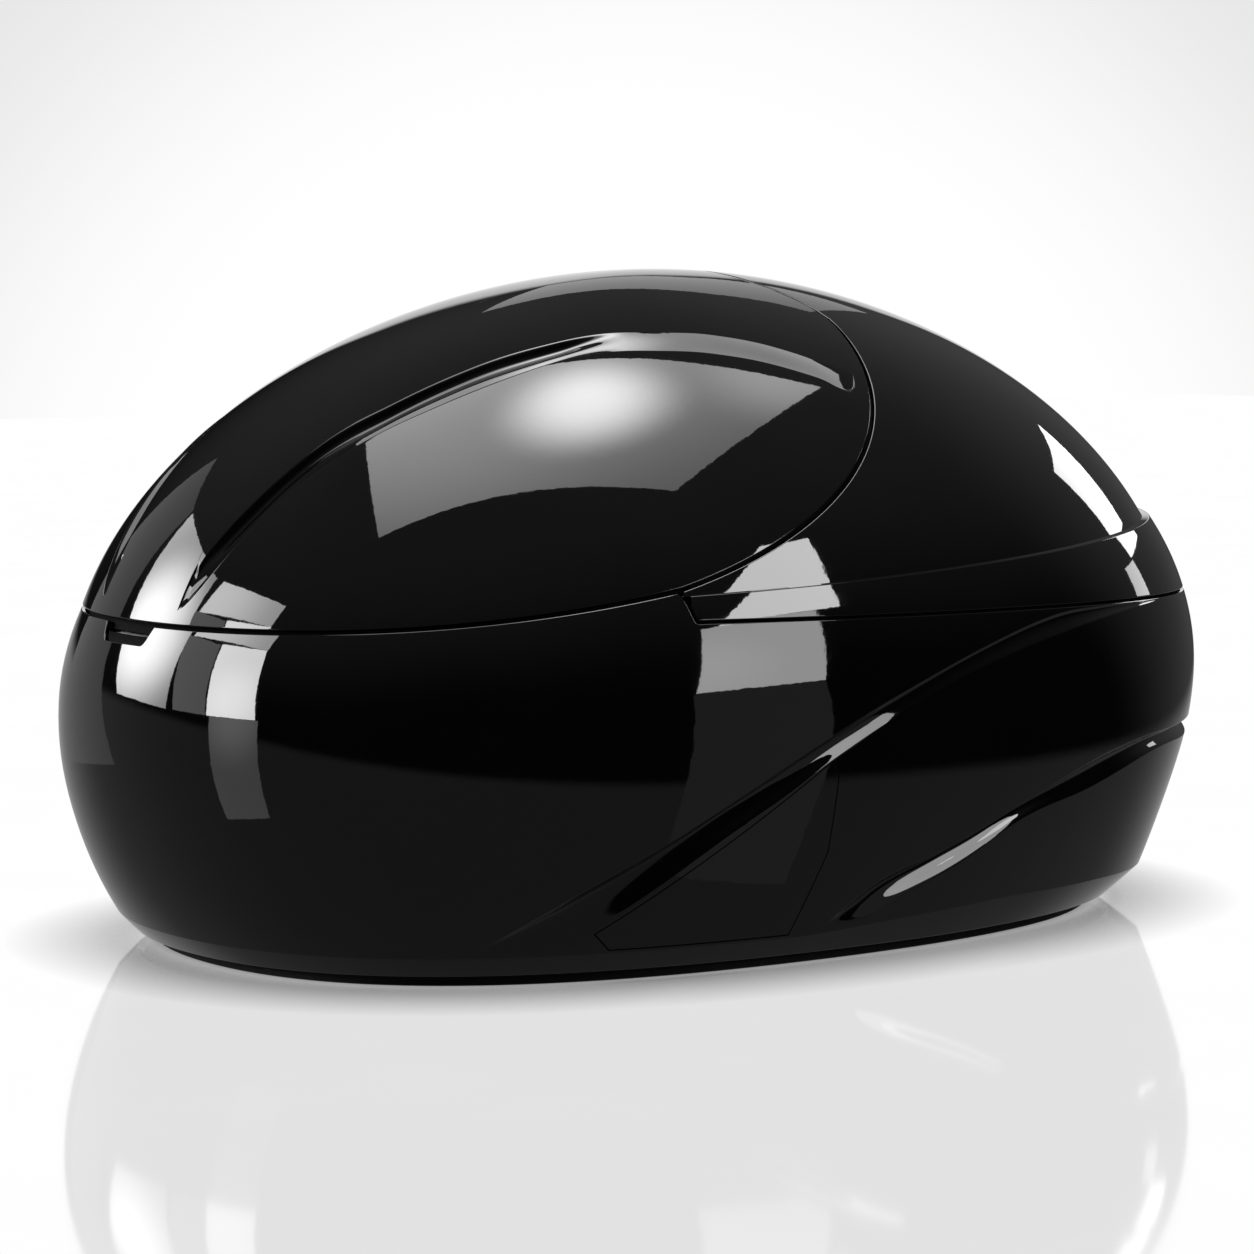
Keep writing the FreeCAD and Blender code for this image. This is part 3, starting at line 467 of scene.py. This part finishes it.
def make_casing(materials):
    """The casing: turned-in foot, flank grooves, tail groove, finger notch and its cup."""
    turn = spread((0, .5, 60), (.5, 1.15, 100), (1.15, 1.19, 8), (1.19, 1.215, 36),
                  (1.215, 1.8, 80), (1.8, 1.93, 16), (1.93, 1.965, 44), (1.965, 2, 8))
    near_foot = BODY.frame_at(turn, BODY.sweep_at(FOOT_LINE_NEAR))[0]
    foot = np.interp(near_foot[:, 0], *FOOT_LINE.T)
    tail_low = np.maximum(along(TAIL_GROOVE_LOW, turn), foot)
    tail_top = np.maximum(along(TAIL_GROOVE_TOP, turn), tail_low)
    flank_low = np.maximum(along(FLANK_GROOVE_LOW, turn), tail_top)
    flank_top = np.maximum(along(FLANK_GROOVE_TOP, turn), flank_low)
    top = solve_level(BODY, turn, casing_top, *SEAM_RANGE)
    flank_low, flank_top = np.minimum(flank_low, top - .002), np.minimum(flank_top, top - .001)
    levels = [BODY.sweep_at(level) for level in
              (CASING_BOTTOM, foot, tail_low, tail_top, flank_low, flank_top, top)]
    sheet = Sheet()
    inner = []

    def depth_at(number, points, t):
        if number == FOOT_BAND:
            return np.interp(turn, *FOOT_TUCK.T) * (1 - t)
        depth, shape = CASING_GROOVES[number]
        above_foot = smooth(*FOOT_FADE, points[..., 2] - foot)
        return along(depth, turn) * along(shape, 1 - t) * above_foot

    for number, (low, high) in enumerate(zip(levels, levels[1:])):
        grooved, at_foot = number in CASING_GROOVES, number == FOOT_BAND
        points, normals, t = band(BODY, turn, low, high, CROWDED if grooved else EVEN)
        sunk, tilted = points, normals
        if grooved or at_foot:
            sunk, tilted = carve(points, normals, depth_at(number, points, t), at_foot)
        inner.append((sunk, normals))
        if at_foot:
            direction = add_lip(sheet, sunk[0], tilted[0], False, FOOT_RADIUS, FOOT_RETURN)
            sunk = eased(sunk, direction, FOOT_RADIUS)
        if number == TOP_BAND:
            direction = add_lip(sheet, sunk[-1], tilted[-1], True, LIP_RADIUS, SKIN)
            add_notch_cup(sheet, turn, sunk[-1], tilted[-1])
            sunk = eased(sunk, direction, LIP_RADIUS, from_top=True)
        sheet.mirrored(sunk, tilted)
    for points, normals in inner:
        add_inner(sheet, points, normals)
    casing = sheet.build("casing_shell", materials)
    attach(casing, "base")
    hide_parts("base_casing", "service_panel_left", "service_panel_right")


def add_notch_cup(sheet, turn, edge, normal):
    """The dark recess behind the finger notch: its floor follows the edge, up to a back wall."""
    chosen = turn > CUP_START
    edge, normal = edge[chosen], normal[chosen]
    mouth = edge - normal * SKIN
    sill = edge - normal * (SKIN + CUP_INSET)
    sill[:, 2] = np.maximum(sill[:, 2], CUP_FLOOR)
    deep = sill - normal * CUP_DEPTH
    ceiling = deep.copy()
    ceiling[:, 2] = CUP_CEILING
    points = np.stack([ceiling, deep, sill, mouth])
    normals = centred(grid_normals(points, np.broadcast_to(normal, points.shape)), points)
    # The cup's faces take the DARK mark, a matt near-black that paints the shade inside the
    # recess.
    sheet.mirrored(points, normals, DARK)


def make_lid(materials):
    """The lid's shell, with a long groove that rises on each side from near the nose."""
    turn = spread((0, .3, 24), (.3, .9, 56), (.9, .95, 34), (.95, 1.15, 26), (1.15, 1.24, 30),
                  (1.24, 1.80, 80), (1.80, 1.84, 12), (1.84, 1.905, 66), (1.905, 2, 14))

    def inside(point):
        above_seam = point[..., 2] > front_seam(point[..., 0]) + FRONT_GAP / 2
        return (point[..., 0] < lid_edge_at(point, -LID_GAP / 2)) & above_seam

    low = solve_sweep(turn, DOME.sweep_at(np.full(turn.shape, LID_SEARCH_FROM)), inside)
    line_low = DOME.sweep_at(along(LID_GROOVE_LOW, turn))
    line_top = DOME.sweep_at(along(LID_GROOVE_TOP, turn))
    start, end = LID_GROOVE_TOP[[0, -1], 0]
    ahead = np.interp(start, turn, (line_top - low) / (1 - low))
    behind = low + ahead * (1 - low)
    line_low = np.where(turn < start, behind, np.maximum(line_low, low + .0005))
    line_top = np.where(turn < start, behind, np.maximum(line_top, line_low))
    sheet = Sheet()
    levels = [low, line_low, line_top, np.ones(turn.shape)]
    for number, (below, above) in enumerate(zip(levels, levels[1:])):
        points, normals, t = band(DOME, turn, below, above, (EVEN, CROWDED, FINE)[number])
        sunk, tilted = points, normals
        if number == LID_GROOVE_BAND:
            depth = np.where((turn < start) | (turn > end), 0, along(LID_GROOVE_DEPTH, turn))
            ramp, bowl = along(LID_GROOVE_RAMP, 1 - t), along(LID_GROOVE_BOWL, 1 - t)
            share = ramp + (bowl - ramp) * smooth(*RAMP_TO_BOWL, turn)
            sunk, tilted = carve(points, normals, depth * share)
        add_inner(sheet, sunk, normals)
        if number == SEAM_BAND:
            direction = add_lip(sheet, sunk[0], tilted[0], False, LIP_RADIUS, SKIN)
            sunk = eased(sunk, direction, LIP_RADIUS)
        sheet.mirrored(sunk, tilted)
    lid = sheet.build("lid_shell", materials)
    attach(lid, "lid")
    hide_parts("lid_skin")


def make_hood(materials):
    """The rear hood: its collar, the ledge on the collar's edge, and the dome behind the lid."""
    turn = spread((0, .5, 50), (.5, .9, 40), (.9, 1.15, 34), (1.15, 1.19, 12),
                  (1.19, HOOD_TIP, 40))

    def bottom_edge(point):
        x = point[..., 0]
        return np.where(x < HOOD_STEP[-1, 0], np.interp(x, *HOOD_STEP.T),
                        rear_seam(x) + REAR_GAP / 2)

    def beyond_lid(point):
        return point[..., 0] < lid_edge_at(point, LID_GAP / 2)

    low = solve_level(BODY, turn, bottom_edge, *SEAM_RANGE)
    collar = solve_level(BODY, turn, lambda point: COLLAR_TOP(point[..., 0]), *COLLAR_RANGE)
    collar = np.maximum(collar, low + .0002)
    room = (collar - low) / 3
    sheet = Sheet()
    points, normals, _ = band(BODY, turn, BODY.sweep_at(low), BODY.sweep_at(collar))
    direction = add_lip(sheet, points[0], normals[0], False, LIP_RADIUS, SKIN)
    body = eased(points, direction, np.minimum(LIP_RADIUS, room)[:, None])
    edge, edge_normal = points[-1], normals[-1]
    upwards = centred(edge_directions(edge, edge_normal, False), edge)
    body = eased(body, upwards, np.minimum(LEDGE_RADIUS, room)[:, None], from_top=True)
    sheet.mirrored(body, normals)
    ledge, ledge_normals = (rows[:ARC_ROWS] for rows in
                            lip(edge, edge_normal, upwards, LEDGE_RADIUS, LEDGE_RADIUS, False))
    sheet.mirrored(ledge, ledge_normals)
    start = DOME.sweep_at(collar)
    dome, dome_normals, _ = band(DOME, turn, start, solve_sweep(turn, start, beyond_lid), FINE)
    shelf = ledge[-1] + (dome[0] - ledge[-1]) * np.linspace(0, 1, 5)[:, None, None]
    sheet.mirrored(shelf, centred(grid_normals(shelf, ledge_normals[:5]), shelf))
    add_inner(sheet, dome, dome_normals)
    direction = add_lip(sheet, dome[-1], dome_normals[-1], True, LIP_RADIUS, SKIN)
    room = np.linalg.norm(dome[-1] - dome[0], axis=-1) / 3
    dome = eased(dome, direction, np.minimum(LIP_RADIUS, room)[:, None], from_top=True)
    sheet.mirrored(dome, dome_normals)
    hood = sheet.build("hood_shell", materials)
    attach(hood, "base")
    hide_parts("rear_hood")


def make_shade_strip(name, points, normals, materials):
    """A matt black strip behind a seam's gap that paints the shade seen through it, from rows of
    points from low to high.
    """
    sheet = Sheet()
    for outwards in (1, -1):
        face = points + normals * (SHADE_STRIP_HALF * outwards)
        sheet.mirrored(face, normals * outwards, flip=outwards < 0)
    gasket = sheet.build(name, materials)
    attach(gasket, "base")


def make_shade_strips(materials):
    """Black strips of painted shade behind the front seam, the rear seam and the lid's rear edge.
    """
    turn = spread((0, 1.15, 90), (1.15, 1.25, 60), (1.25, 2, 60))
    top = solve_level(BODY, turn, casing_top, *SEAM_RANGE)
    top = np.where(turn > LEVEL_SHADE_STRIP_FROM, NOSE_SHADE_STRIP_LEVEL, top)
    steps = np.linspace(*SEAM_STRIP, SHADE_STRIP_ROWS)[:, None]
    points, normals = BODY.frame_at(turn[None, :], BODY.sweep_at(top + steps))
    behind = points - normals * (SKIN + SEAM_STRIP_BEHIND)
    make_shade_strip("seam_shade_strip", behind, normals, materials)
    rear = turn[turn < LID_SHADE_STRIP_END]

    def beyond_lid(point):
        return point[..., 0] < lid_edge_at(point, 0)

    start = DOME.sweep_at(np.full(rear.shape, SHADE_STRIP_SEARCH_FROM))
    points, normals = DOME.frame_at(rear, solve_sweep(rear, start, beyond_lid))
    away = centred(edge_directions(points, normals, False), points)
    strip = points + away * np.linspace(*LID_STRIP, SHADE_STRIP_ROWS)[:, None, None]
    behind = strip - normals * (SKIN + LID_STRIP_BEHIND)
    make_shade_strip("lid_edge_shade_strip", behind, np.broadcast_to(normals, strip.shape), materials)


# ---------------------------------------------------------------- shader graphs


class Graph:
    """A node tree with short ways to add nodes. A value is a number or another node's output."""

    def __init__(self, owner, coordinates="Object", blank=True):
        owner.use_nodes = True
        self.nodes, self.links = owner.node_tree.nodes, owner.node_tree.links
        if blank:
            self.nodes.clear()
        self.place = self.nodes.new("ShaderNodeTexCoord").outputs[coordinates]

    def feed(self, socket, value):
        if isinstance(value, bpy.types.NodeSocket):
            self.links.new(value, socket)
        else:
            socket.default_value = value

    def fade(self, source, start, end, low, high, curve="SMOOTHSTEP"):
        """Goes from low at start to high at end, and stays level beyond them."""
        node = self.nodes.new("ShaderNodeMapRange")
        node.interpolation_type = curve
        for name, value in (("From Min", start), ("From Max", end), ("To Min", low),
                            ("To Max", high), ("Value", source)):
            self.feed(node.inputs[name], value)
        return node.outputs["Result"]

    def ramp(self, source, low, high, start=0.0, end=1.0):
        return self.fade(source, start, end, low, high, "LINEAR")

    def math(self, kind, first, second=0.0):
        node = self.nodes.new("ShaderNodeMath")
        node.operation = kind
        self.feed(node.inputs[0], first)
        self.feed(node.inputs[1], second)
        return node.outputs[0]

    def measure(self, kind, vector):
        node = self.nodes.new("ShaderNodeVectorMath")
        node.operation = kind
        self.links.new(self.place, node.inputs[0])
        node.inputs[1].default_value = vector
        return node.outputs["Value"]

    def facing(self, direction):
        """How far the place lies along a direction."""
        return self.measure("DOT_PRODUCT", direction)

    def noise(self, scale, detail, roughness=.5, stretch=(1, 1, 1)):
        mapping = self.nodes.new("ShaderNodeMapping")
        mapping.inputs["Scale"].default_value = stretch
        self.links.new(self.place, mapping.inputs["Vector"])
        node = self.nodes.new("ShaderNodeTexNoise")
        node.inputs["Scale"].default_value = scale
        node.inputs["Detail"].default_value = detail
        node.inputs["Roughness"].default_value = roughness
        self.links.new(mapping.outputs["Vector"], node.inputs["Vector"])
        return node.outputs["Fac"]

    def ray(self, kind):
        return self.nodes.new("ShaderNodeLightPath").outputs[kind]

    def glow(self, kind, strength):
        node = self.nodes.new(kind)
        node.inputs["Color"].default_value = (1, 1, 1, 1)
        self.feed(node.inputs["Strength"], strength)
        return node.outputs[0]

    def mixed(self, share, first, second):
        """The first shader where share is 0, the second where it is 1."""
        node = self.nodes.new("ShaderNodeMixShader")
        for socket, value in zip(node.inputs, (share, first, second)):
            self.feed(socket, value)
        return node.outputs[0]

    def show(self, kind, surface):
        self.links.new(surface, self.nodes.new(kind).inputs["Surface"])


# ---------------------------------------------------------------- materials


class Finish(Graph):
    """A procedural material: one Principled shader, fed by noises in object space."""

    def __init__(self, name, metallic=0.0, ior=1.5, transmission=0.0):
        self.material = bpy.data.materials.new(name)
        super().__init__(self.material, blank=False)
        self.shader = self.nodes["Principled BSDF"]
        self.drive("Metallic", metallic)
        self.drive("IOR", ior)
        self.drive("Transmission Weight", transmission)

    def drive(self, name, value):
        self.feed(self.shader.inputs[name], value)

    def cells(self, scale):
        node = self.nodes.new("ShaderNodeTexVoronoi")
        node.inputs["Scale"].default_value = scale
        self.links.new(self.place, node.inputs["Vector"])
        return node.outputs["Distance"]

    def blend(self, share, first, second):
        """A mix of two colours, each a tuple or another node's output."""
        node = self.nodes.new("ShaderNodeMix")
        node.data_type = "RGBA"
        self.links.new(share, node.inputs["Factor"])
        colours = [socket for socket in node.inputs if socket.type == "RGBA"]
        for socket, value in zip(colours, (first, second)):
            self.feed(socket, (*value, 1) if isinstance(value, tuple) else value)
        return [out for out in node.outputs if out.type == "RGBA"][0]

    def bump(self, height, distance):
        """Raises the surface by up to a distance in metres."""
        node = self.nodes.new("ShaderNodeBump")
        node.inputs["Distance"].default_value = distance
        node.inputs["Strength"].default_value = 1.0
        self.links.new(height, node.inputs["Height"])
        self.drive("Normal", node.outputs["Normal"])


GLOSS_DARK, GLOSS_LIGHT = (.0006, .0006, .0007), (.0012, .0012, .0013)
GLOSS_ROUGHNESS, RIPPLE_HEIGHT = (.016, .034), .00004
DUST_COLOUR, DUST_SHARE, DUST_ROUGHNESS = (.35, .35, .36), .012, .03
LINE_COLOUR, LINE_ROUGHNESS, LINE_HALF, LINE_BLUR_END = (.0008, .0008, .0008), .9, .0010, .0016
# Corners of the flank's service panel as (station, level).
PANEL = ((-.627, .107), (-.154, .423), (-.137, .390), (-.142, .238), (-.201, .072), (-.591, .072))


def gloss_black(panel_lines=False):
    """Polished black with a little dust, and the service panels' cut lines where asked for."""
    look = Finish("gloss_black_panels" if panel_lines else "gloss_black")
    base = look.blend(look.ramp(look.noise(3.0, 4), 0, 1, .35, .65), GLOSS_DARK, GLOSS_LIGHT)
    dust = look.ramp(look.noise(900, 2), 0, 1, .70, .80)
    base = look.blend(look.math("MULTIPLY", dust, DUST_SHARE), base, DUST_COLOUR)
    rough = look.math("ADD", look.ramp(look.noise(14, 5, .6), *GLOSS_ROUGHNESS, .3, .7),
                      look.math("MULTIPLY", dust, DUST_ROUGHNESS))
    look.bump(look.noise(55, 2, .4), RIPPLE_HEIGHT)
    if panel_lines:
        line = panel_line_mask(look)
        base = look.blend(line, base, LINE_COLOUR)
        rough = look.math("MAXIMUM", rough, look.math("MULTIPLY", line, LINE_ROUGHNESS))
        look.drive("Specular IOR Level", look.ramp(line, .5, 0))
    look.drive("Base Color", base)
    look.drive("Roughness", rough)
    return look.material


def panel_line_mask(look):
    """1 on the thin gap round the flank's service panel, as drawn in side view."""
    x, z, nearest = look.facing((1, 0, 0)), look.facing((0, 0, 1)), None
    for (x0, z0), (x1, z1) in zip(PANEL, PANEL[1:] + PANEL[:1]):
        length = ((x1 - x0) ** 2 + (z1 - z0) ** 2) ** .5
        ux, uz = (x1 - x0) / length, (z1 - z0) / length
        dx, dz = look.math("SUBTRACT", x, x0), look.math("SUBTRACT", z, z0)
        run = look.math("ADD", look.math("MULTIPLY", dx, ux), look.math("MULTIPLY", dz, uz))
        held = look.math("MINIMUM", look.math("MAXIMUM", run, 0.0), length)
        over = look.math("SUBTRACT", run, held)
        off = look.math("SUBTRACT", look.math("MULTIPLY", dx, uz), look.math("MULTIPLY", dz, ux))
        reach = look.math("SQRT", look.math("ADD", look.math("MULTIPLY", over, over),
                                            look.math("MULTIPLY", off, off)))
        nearest = reach if nearest is None else look.math("MINIMUM", nearest, reach)
    return look.ramp(nearest, 1, 0, LINE_HALF, LINE_BLUR_END)


def plain(name, colour, variation, rough, scale, bump, metallic=0.0, stretch=(1, 1, 1),
          speckle=None, transmission=0.0, ior=1.5):
    """A moulded, painted or metal finish: tone drift, uneven gloss and a fine surface texture."""
    look = Finish(name, metallic, ior, transmission)
    darker = tuple(c * (1 - variation) for c in colour)
    lighter = tuple(min(c * (1 + variation), 1) for c in colour)
    base = look.blend(look.ramp(look.noise(scale * .08, 4), 0, 1, .3, .7), darker, lighter)
    fine = look.noise(scale, 5, .6, stretch)
    base = look.blend(look.ramp(fine, 0, .35, .45, .75), base, darker)
    if speckle:
        spots = look.ramp(look.cells(scale * 1.5), 1, 0, .10, .25)
        base = look.blend(look.math("MULTIPLY", spots, .6), base, speckle)
    look.drive("Base Color", base)
    look.drive("Roughness", look.ramp(fine, rough * .8, rough * 1.2, .3, .7))
    look.bump(fine, bump)
    return look.material


# Each row holds the first arguments of plain and a dictionary of the others.
PLAIN_SLOTS = (
    # matt_black is near-black with a low IOR, so the plinth under the casing's edge reads as the
    # shade beneath it: the part's own black, darkened further as painted shade.
    ("matt_black", (.006, .006, .0065), .25, .6, 700, .0001, {"ior": 1.25}),
    ("liner_white", (.78, .79, .80), .02, .16, 160, .00004, {}),
    ("frame_steel", (.20, .21, .22), .10, .42, 900, .00012, {}),
    ("stainless", (.60, .60, .61), .06, .24, 500, .00003,
     {"metallic": 1.0, "stretch": (1, 40, 1)}),
    ("zinc", (.55, .56, .58), .14, .36, 60, .00003, {"metallic": 1.0, "speckle": (.42, .43, .45)}),
    ("foam", (.76, .72, .54), .06, .9, 260, .0008, {"speckle": (.60, .55, .38)}),
    ("heater_foil", (.70, .32, .09), .08, .45, 300, .0002, {"stretch": (1, 8, 1)}),
    ("rubber_black", (.022, .022, .022), .2, .72, 800, .00015, {}),
    ("lens_clear", (.80, .90, .96), .02, .12, 200, .0002, {"transmission": .85}),
    ("fitting_white", (.82, .83, .83), .02, .34, 500, .00006, {}),
    ("strut_black", (.018, .018, .019), .15, .28, 600, .00003, {}),
    ("rod_chrome", (.78, .78, .80), .02, .07, 400, .00001,
     {"metallic": 1.0, "stretch": (1, 1, 30)}),
    ("button_blue", (.08, .24, .55), .05, .18, 400, .00003, {}),
    ("equipment_grey", (.32, .33, .35), .06, .5, 700, .00015, {}),
    ("motor_paint", (.08, .10, .14), .12, .4, 500, .0001, {}))


def slot_materials():
    finishes = {"gloss_black": gloss_black()}
    for name, *looks, others in PLAIN_SLOTS:
        finishes[name] = plain(name, *looks, **others)
    return finishes


# ---------------------------------------------------------------- studio

CAMERA_PLACE = Vector((-4.66208, -6.62235, 1.3372))
CAMERA_AIM = Vector((.56906, .81751, -.08858))
LENS, SENSOR, CLIP_END = 107.917, 36.0, 200


def make_camera():
    data = bpy.data.cameras.new("studio_camera")
    data.lens, data.sensor_width, data.clip_end = LENS, SENSOR, CLIP_END
    camera = bpy.data.objects.new("studio_camera", data)
    right = CAMERA_AIM.cross(Vector((0, 0, 1))).normalized()
    up = right.cross(CAMERA_AIM).normalized()
    turned = Matrix((right, up, -CAMERA_AIM.normalized())).transposed()
    camera.matrix_world = Matrix.Translation(CAMERA_PLACE) @ turned.to_4x4()
    bpy.context.collection.objects.link(camera)
    bpy.context.scene.camera = camera


def panel_mesh(name, corners, cuts=1):
    """A flat four-cornered sheet of the studio, divided into cuts by cuts faces."""
    corners = [np.array(c, float) for c in corners]
    steps = np.linspace(0, 1, cuts + 1)
    points, faces = [], []
    for v in steps:
        for u in steps:
            low = corners[0] * (1 - u) + corners[1] * u
            high = corners[3] * (1 - u) + corners[2] * u
            points.append(tuple(low * (1 - v) + high * v))
    width = cuts + 1
    for row in range(cuts):
        for column in range(cuts):
            first = row * width + column
            faces.append((first, first + 1, first + width + 1, first + width))
    mesh = bpy.data.meshes.new(name)
    mesh.from_pydata(points, [], faces)
    thing = bpy.data.objects.new(name, mesh)
    bpy.context.collection.objects.link(thing)
    return thing


CEILING, WALL_RADIUS = 2.8, 4.5
# Each row is name, corners in plan, strength and hot spots (place in plan, radius, extra).
CEILING_LAMPS = (
    ("ceiling_softbox", ((-1.27, .495), (-2.08, -.85), (.38, -1.91), (1.34, -.57)), 2.0,
     (((-.08, -.62), .78, 11.5), ((-.75, -.10), 2.6, 3.0), ((1.15, -.56), .75, 2.0))),
    ("ceiling_strip", ((.56, 2.1), (1.84, .92), (3.0, 2.0), (1.73, 3.28)), .8, ()))
# Each row is name, bearings of the two lower and the two upper corners, level of the lower and of
# the upper edge (or of each corner), strength and hot spots (bearing, level, radius, extra).
WALL_LAMPS = (
    ("strip_a", (-45, -64.5, -28, -59.5), .83, 3.2, 3.5, ((-50, 1.9, 1.7, 10),)),
    ("strip_b_low", (-79, -95, -74.5, -91), .85, (2.52, 2.62), 14, ((-86, 1.3, 1.2, 3),)),
    ("strip_b_high", (-62.5, -91, -63, -92), (2.45, 2.62), 3.23, 6, ((-70, 2.8, 2.0, 3.6),)),
    ("strip_b_echo", (-82, -97, -80, -96), -1.25, .84, 1.0, ((-88, .84, 1.3, 1.1),)),
    ("dim_left", (-15, -44, -12, -27), -.3, 3.2, .38, ()),
    ("dim_between", (-67, -78.5, -60.5, -74), .85, (2.43, 2.50), 1.4, ()),
    ("strip_c_low", (171.5, 155.5, 168.5, 153), .97, 2.4, 6.3, ((170, 1.5, 1.2, 1.0),)),
    ("strip_c_high", (166, 150, 154, 147), 2.4, 3.6, 12, ()),
    ("strip_c_echo", (171, 152, 172, 155.5), -2.4, .95, .25, ()),
    ("strip_d", (97, 87, 96, 80), 1.75, 2.9, 8, ()),
    ("strip_d_low", (103, 97.5, 102, 97), 1.22, 1.72, 4.5, ()))


def lamp(name, corners, strength, hot_spots):
    """A glowing sheet that the camera doesn't see. Each hot spot is (place, radius, extra)."""
    thing = panel_mesh(name, corners)
    thing.visible_camera = False
    thing.visible_shadow = False
    material = bpy.data.materials.new(name)
    graph = Graph(material)
    for centre, radius, extra in hot_spots:
        near = graph.fade(graph.measure("DISTANCE", centre), 0, radius, extra, 0, "SMOOTHERSTEP")
        strength = graph.math("ADD", near, strength)
    graph.show("ShaderNodeOutputMaterial", graph.glow("ShaderNodeEmission", strength))
    thing.data.materials.append(material)


def on_wall(bearing, level):
    """A point of the round wall. Bearing 0 is +Y and 90 is +X."""
    a = np.radians(bearing)
    return (WALL_RADIUS * np.sin(a), WALL_RADIUS * np.cos(a), level)


def make_lamps():
    for name, corners, strength, hot_spots in CEILING_LAMPS:
        lamp(name, [(x, y, CEILING) for x, y in corners], strength,
             [((x, y, CEILING), radius, extra) for (x, y), radius, extra in hot_spots])
    for name, (a, b, c, d), low, high, strength, hot_spots in WALL_LAMPS:
        (low_a, low_b), (high_c, high_d) = np.broadcast_to(low, 2), np.broadcast_to(high, 2)
        lamp(name, [on_wall(a, low_a), on_wall(b, low_b), on_wall(d, high_d), on_wall(c, high_c)],
             strength, [(on_wall(bearing, level), radius, extra)
                        for bearing, level, radius, extra in hot_spots])


# Directions in the room that the shells mirror, and the fades along them. A fade is its start and
# its end, then its level at each. The tilted floor line is the border between floor and walls.
BACKDROP_AIM, CAMERA_RIGHT = (.5713, .8207, 0.0), (.8207, -.5713, 0.0)
SIDE_AIM, FLOOR_TILT = (.933, .25, .259), (.098, -.158, 1.0)
FLOOR_RIM, RIM_BLUR = -.129, .03
WALL_GLOW, SIDE_GLOW, FLOOR_GLOW = (.1, .85, .01, .14), (.75, 1.0, 0, .12), (.5, .97, .17, .42)
BACKDROP_RIM, BACKDROP_SIDES = (.93, .955), (.17, .20, 1, 0)
# The page is what the camera itself sees behind the tank. It dims from 1.0 at the centre of the
# view to .80 towards its edges: painted shade.
PAGE_GLOW = (.9715, .992, .80, 1.0)


def make_world():
    """A white page to the camera. Other rays meet a dim room, its lit backdrop and its floor."""
    world = bpy.data.worlds.new("studio")
    bpy.context.scene.world = world
    graph = Graph(world, "Generated")
    toward = graph.facing(BACKDROP_AIM)
    dim = graph.math("ADD", graph.fade(graph.facing((0, 0, 1)), *WALL_GLOW),
                     graph.fade(graph.facing(SIDE_AIM), *SIDE_GLOW))
    beside = graph.fade(graph.math("ABSOLUTE", graph.facing(CAMERA_RIGHT)), *BACKDROP_SIDES)
    walls = graph.math("MAXIMUM", dim, graph.fade(toward, *BACKDROP_RIM, 0, beside))
    room = graph.fade(graph.facing(FLOOR_TILT), FLOOR_RIM - RIM_BLUR, FLOOR_RIM + RIM_BLUR,
                      graph.fade(toward, *FLOOR_GLOW), walls)
    page = graph.fade(graph.facing(CAMERA_AIM), *PAGE_GLOW)
    graph.show("ShaderNodeOutputWorld", graph.mixed(graph.ray("Is Camera Ray"),
                                                    graph.glow("ShaderNodeBackground", room),
                                                    graph.glow("ShaderNodeBackground", page)))


FLOOR_HALF, FLOOR_CUTS = 30, 12
# Reach and samples of the painted contact shadow on the floor.
PAINTED_SHADOW_REACH, PAINTED_SHADOW_SAMPLES = .24, 8
MIRROR_ROUGHNESS, MIRROR_SHARE, GROUND_TONE = .06, .235, .30


def make_floor():
    """The camera sees a white page, darkened near the tank by ambient occlusion as a painted
    contact shadow, with a faint mirror image. Mirrored rays pass through it.
    """
    floor = panel_mesh("studio_floor", [(x * FLOOR_HALF, y * FLOOR_HALF, 0) for x, y in
                                        ((-1, -1), (1, -1), (1, 1), (-1, 1))], FLOOR_CUTS)
    material = bpy.data.materials.new("studio_floor")
    graph = Graph(material)
    tone = graph.ramp(graph.noise(2.0, 4), .985, 1.0, .3, .7)
    # Ambient occlusion darkens the page near the tank: a painted contact shadow.
    near = graph.nodes.new("ShaderNodeAmbientOcclusion")
    near.inputs["Distance"].default_value = PAINTED_SHADOW_REACH
    near.samples = PAINTED_SHADOW_SAMPLES
    page = graph.glow("ShaderNodeEmission", graph.math("MULTIPLY", near.outputs["AO"], tone))
    mirror = graph.nodes.new("ShaderNodeBsdfGlossy")
    mirror.inputs["Roughness"].default_value = MIRROR_ROUGHNESS
    mirror.inputs["Color"].default_value = (1, 1, 1, 1)
    ground = graph.nodes.new("ShaderNodeBsdfDiffuse")
    ground.inputs["Color"].default_value = (GROUND_TONE, GROUND_TONE, GROUND_TONE, 1)
    clear = graph.nodes.new("ShaderNodeBsdfTransparent")
    seen = graph.mixed(MIRROR_SHARE, page, mirror.outputs[0])
    other = graph.mixed(graph.ray("Is Glossy Ray"), ground.outputs[0], clear.outputs[0])
    graph.show("ShaderNodeOutputMaterial", graph.mixed(graph.ray("Is Camera Ray"), other, seen))
    floor.data.materials.append(material)


# ---------------------------------------------------------------- put together

finishes = slot_materials()
inside_grey = plain("shell_inside", (.10, .10, .105), .08, .45, 400, .0001)
node_slots = {row["node"]: row["material_slot"] for row in frame["record"]["subparts"]}
for name, thing in frame["nodes"].items():
    thing.data.materials.clear()
    thing.data.materials.append(finishes[node_slots[name]])

# The recess finish is a matt near-black with a low IOR that hardly reflects: painted shade in the
# finger notch's cup and on the strips behind the seams.
recess = plain("recess_shade_black", (.004, .004, .004), .2, .85, 500, .0001, ior=1.1)
shell = [finishes["gloss_black"], recess, inside_grey]
make_casing([gloss_black(panel_lines=True)] + shell[1:])
make_lid(shell)
make_hood(shell)
make_shade_strips([recess])
make_camera()
make_world()
make_floor()
make_lamps()

bpy.context.scene.view_settings.view_transform = "Standard"
